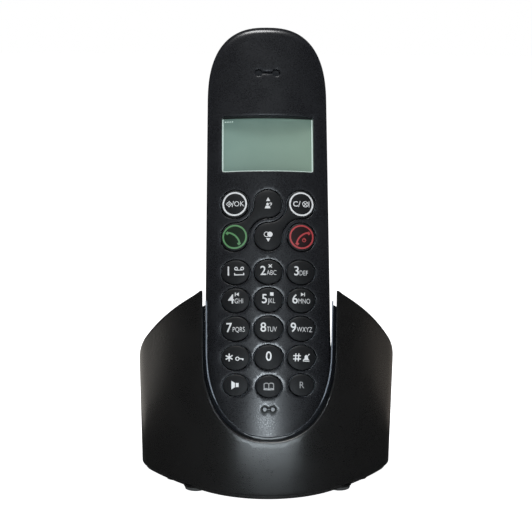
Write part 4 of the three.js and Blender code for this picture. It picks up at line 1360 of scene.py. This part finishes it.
def base_tray():
    """The bottom plate: rounded rim, wells for the feet and the screws."""
    made = Surface(plan_place)
    draft = DRAFT * DRAFT_FROM_Z

    def edge(inset):
        return plan_point(np.linspace(0, 2 * HALF_WAY, 240, endpoint=False), TRAY_INSET + inset)

    first, last = made.stack([
        (edge(0.5), TRAY_BOTTOM),
        (edge(0.15), TRAY_BOTTOM + 0.12),
        (edge(0), TRAY_BOTTOM + 0.5),
        (edge(0), TRAY_TOP),
        (edge(draft), TRAY_TOP),
    ])
    wells = [(round_hole(x, y, FOOT_RADIUS + SEAM, 32), 0.6) for x, y in FEET.values()]
    wells += [(round_hole(x, y, SCREW_HEAD_RADIUS + 0.4, 32), 1.1) for x, y in SCREWS.values()]
    edges = [(edge(0.5), first)]
    for outline, depth in wells:
        well_top = TRAY_BOTTOM + depth
        rings = [(outline(0.2), TRAY_BOTTOM), (outline(0), TRAY_BOTTOM + 0.2), (outline(0), well_top)]
        start, end = made.stack(rings)
        made.fill([(outline(0), end)], 9, well_top)
        edges.append((outline(0.2), start))
    made.fill(edges, 4, TRAY_BOTTOM)
    made.fill([(edge(draft), last)], 6, TRAY_TOP)
    made.piece("tray_plate", BASE, "base", "case_black", ["base_tray"], BASE_FRAME)


def turned(name, profile, material, body, slot, replaced, matrix):
    """A round piece: profile is (radius, height) from the axis round to the axis."""
    made = Surface(plan_place)
    for ring in made.stack([(circle(0, 0, radius, 48), height) for radius, height in profile]):
        made.faces.append(tuple(ring))
    made.piece(name, material, body, slot, replaced, matrix)


def rubber_feet():
    top = TRAY_BOTTOM + 0.3
    radius = FOOT_RADIUS
    dish = [(radius - 1.6, 0.25), (radius - 1.3, 0.04), (radius - 1.1, 0), (radius - 0.5, 0)]
    side = [(radius - 0.15, 0.15), (radius, 0.5), (radius, top - 0.15), (radius - 0.15, top)]
    for corner, (x, y) in FEET.items():
        matrix = Matrix.Translation(Vector((x, y, 0)) * MM)
        replaced = ["rubber_foot_" + corner]
        turned("foot_" + corner, [*dish, *side], RUBBER, "base", "rubber_black", replaced, matrix)


def page_button():
    face = BASE_DEPTH / 2 - SEAM
    radius = PAGE_BUTTON_RADIUS
    side = [(radius, -3), (radius, -0.5), (radius - 0.15, -0.15), (radius - 0.5, 0)]
    dish = [(radius - 1.4, -0.12), (0.9, -0.35), (0.3, -0.38)]
    matrix = Matrix.Translation(Vector((0, face, PORT_Z)) * MM) @ Matrix.Rotation(-math.pi / 2, 4, "X")
    turned("page_push", [*side, *dish], KEYS, "page_button", "key_black", ["page_button"], matrix)


base_shell()
cradle_lip()
base_tray()
rubber_feet()
page_button()


# ---- the frame's own pieces that stay: the start of their names, and their material ----
NODE_MATERIALS = {
    "cradle_liner": LINER,
    "base_circuit_board": BOARD,
    "base_antenna": BRASS,
    "line_jack": SOCKET,
    "power_jack": SOCKET,
    "page_switch": STEEL,
    "display_panel": CRYSTAL,
    "display_backlight": DIFFUSER,
    "handset_circuit_board": BOARD,
    "key_mat": SILICONE,
    "earpiece_speaker": SPEAKER,
    "loudspeaker": SPEAKER,
    "microphone": RUBBER,
    "handset_antenna": BRASS,
    "battery_contact_plate": NICKEL,
    "base_screw": STEEL,
    "charge_contact": NICKEL,
    "battery_cell": CELL,
    "battery_spring": NICKEL,
    "handset_charge_strip": NICKEL,
    "handset_screw": STEEL,
}

for node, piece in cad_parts.items():
    for start, material in NODE_MATERIALS.items():
        if node.startswith(start):
            piece.data.materials.clear()
            piece.data.materials.append(material)


# ---- floor, camera and lights ----
FLOOR_GLOW = 1
ROOM_LIGHT = 0.03
TARGET = (-1.02, -20, 84.36)
YAW = math.radians(-1.75)
ELEVATION = math.radians(10.4)
ROLL = math.radians(0.40)
DISTANCE = 500
SENSOR = 36
FOCAL_SHARE = 2.54135  # focal length over the sensor's width


def floor():
    made = Surface(plan_place)
    outline = rounded_rectangle((-2500, -2500, 2500, 6000), 900, steps=24)
    made.fill([(outline, made.ring(outline, 0))], 400, 0)
    pale = Nodes("pale_floor")
    soft = pale.mix(pale.noise(8), (0.86, 0.86, 0.86), (0.9, 0.9, 0.9))
    glow = {"Emission Color": (1, 1, 1), "Emission Strength": FLOOR_GLOW}
    pale.plug(pale.shader.inputs, {"Base Color": soft, "Roughness": 0.8, **glow})
    piece = add_object("floor", made.mesh("floor", pale.material))
    piece.visible_glossy = False
    piece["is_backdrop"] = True


def camera():
    """A long lens a little above the phone, in front of it."""
    data = bpy.data.cameras.new("camera")
    data.sensor_width = SENSOR
    data.lens = SENSOR * FOCAL_SHARE
    data.clip_end = 50
    level = math.cos(ELEVATION)
    away = Vector((math.sin(YAW) * level, -math.cos(YAW) * level, math.sin(ELEVATION)))
    right = (-away).cross(Vector((0, 0, 1))).normalized()
    up = right.cross(-away)
    turned_right = math.cos(ROLL) * right + math.sin(ROLL) * up
    turned_up = math.cos(ROLL) * up - math.sin(ROLL) * right
    turn = Matrix((turned_right, turned_up, away)).transposed().to_4x4()
    place = Vector(TARGET) + away * DISTANCE
    eye = add_object("camera", data)
    eye.matrix_world = Matrix.Translation(place * MM) @ turn
    bpy.context.scene.camera = eye


def soft_light(name, place, aim, width, height, power, colour=(1, 1, 1)):
    data = bpy.data.lights.new(name, "AREA")
    data.shape = "RECTANGLE"
    data.size = width * MM
    data.size_y = height * MM
    data.energy = power
    data.color = colour
    light = add_object(name, data)
    light.visible_camera = False
    turn = (Vector(aim) - Vector(place)).to_track_quat("-Z", "Y").to_matrix().to_4x4()
    light.matrix_world = Matrix.Translation(Vector(place) * MM) @ turn


def studio():
    """A white backdrop that lights the phone only faintly, and five soft lights."""
    world = bpy.data.worlds.new("studio")
    bpy.context.scene.world = world
    sky = Tree(world)
    backdrop = sky.add("Background", {"Color": (1, 1, 1)}).outputs[0]
    room = sky.add("Background", {"Color": (0.97, 0.98, 1), "Strength": ROOM_LIGHT}).outputs[0]
    seen = sky.add("LightPath").outputs["Is Camera Ray"]
    either = sky.add("MixShader", {0: seen, 1: room, 2: backdrop}).outputs[0]
    sky.plug(sky.tree.nodes["World Output"].inputs, {"Surface": either})
    soft_light("overhead", (-60, -80, 780), (0, 0, 80), 300, 240, 5)
    soft_light("flash", (0, -640, 235), (0, -40, 40), 90, 60, 1.35, (0.84, 0.93, 1))
    soft_light("low_front", (0, -112, 6), (0, -43, 20), 110, 10, 0.05, (0.84, 0.94, 1))
    soft_light("left_card", (-200, 160, 2), (-200, 160, 100), 240, 260, 0.13, (1, 0.95, 0.88))
    soft_light("right_card", (200, 160, 2), (200, 160, 100), 240, 260, 0.055, (1, 0.88, 0.76))
    bpy.context.scene.view_settings.view_transform = "Standard"


floor()
camera()
studio()

[[list(map(float, corner)) for corner in box] for box in (CAD_BOX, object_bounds())]
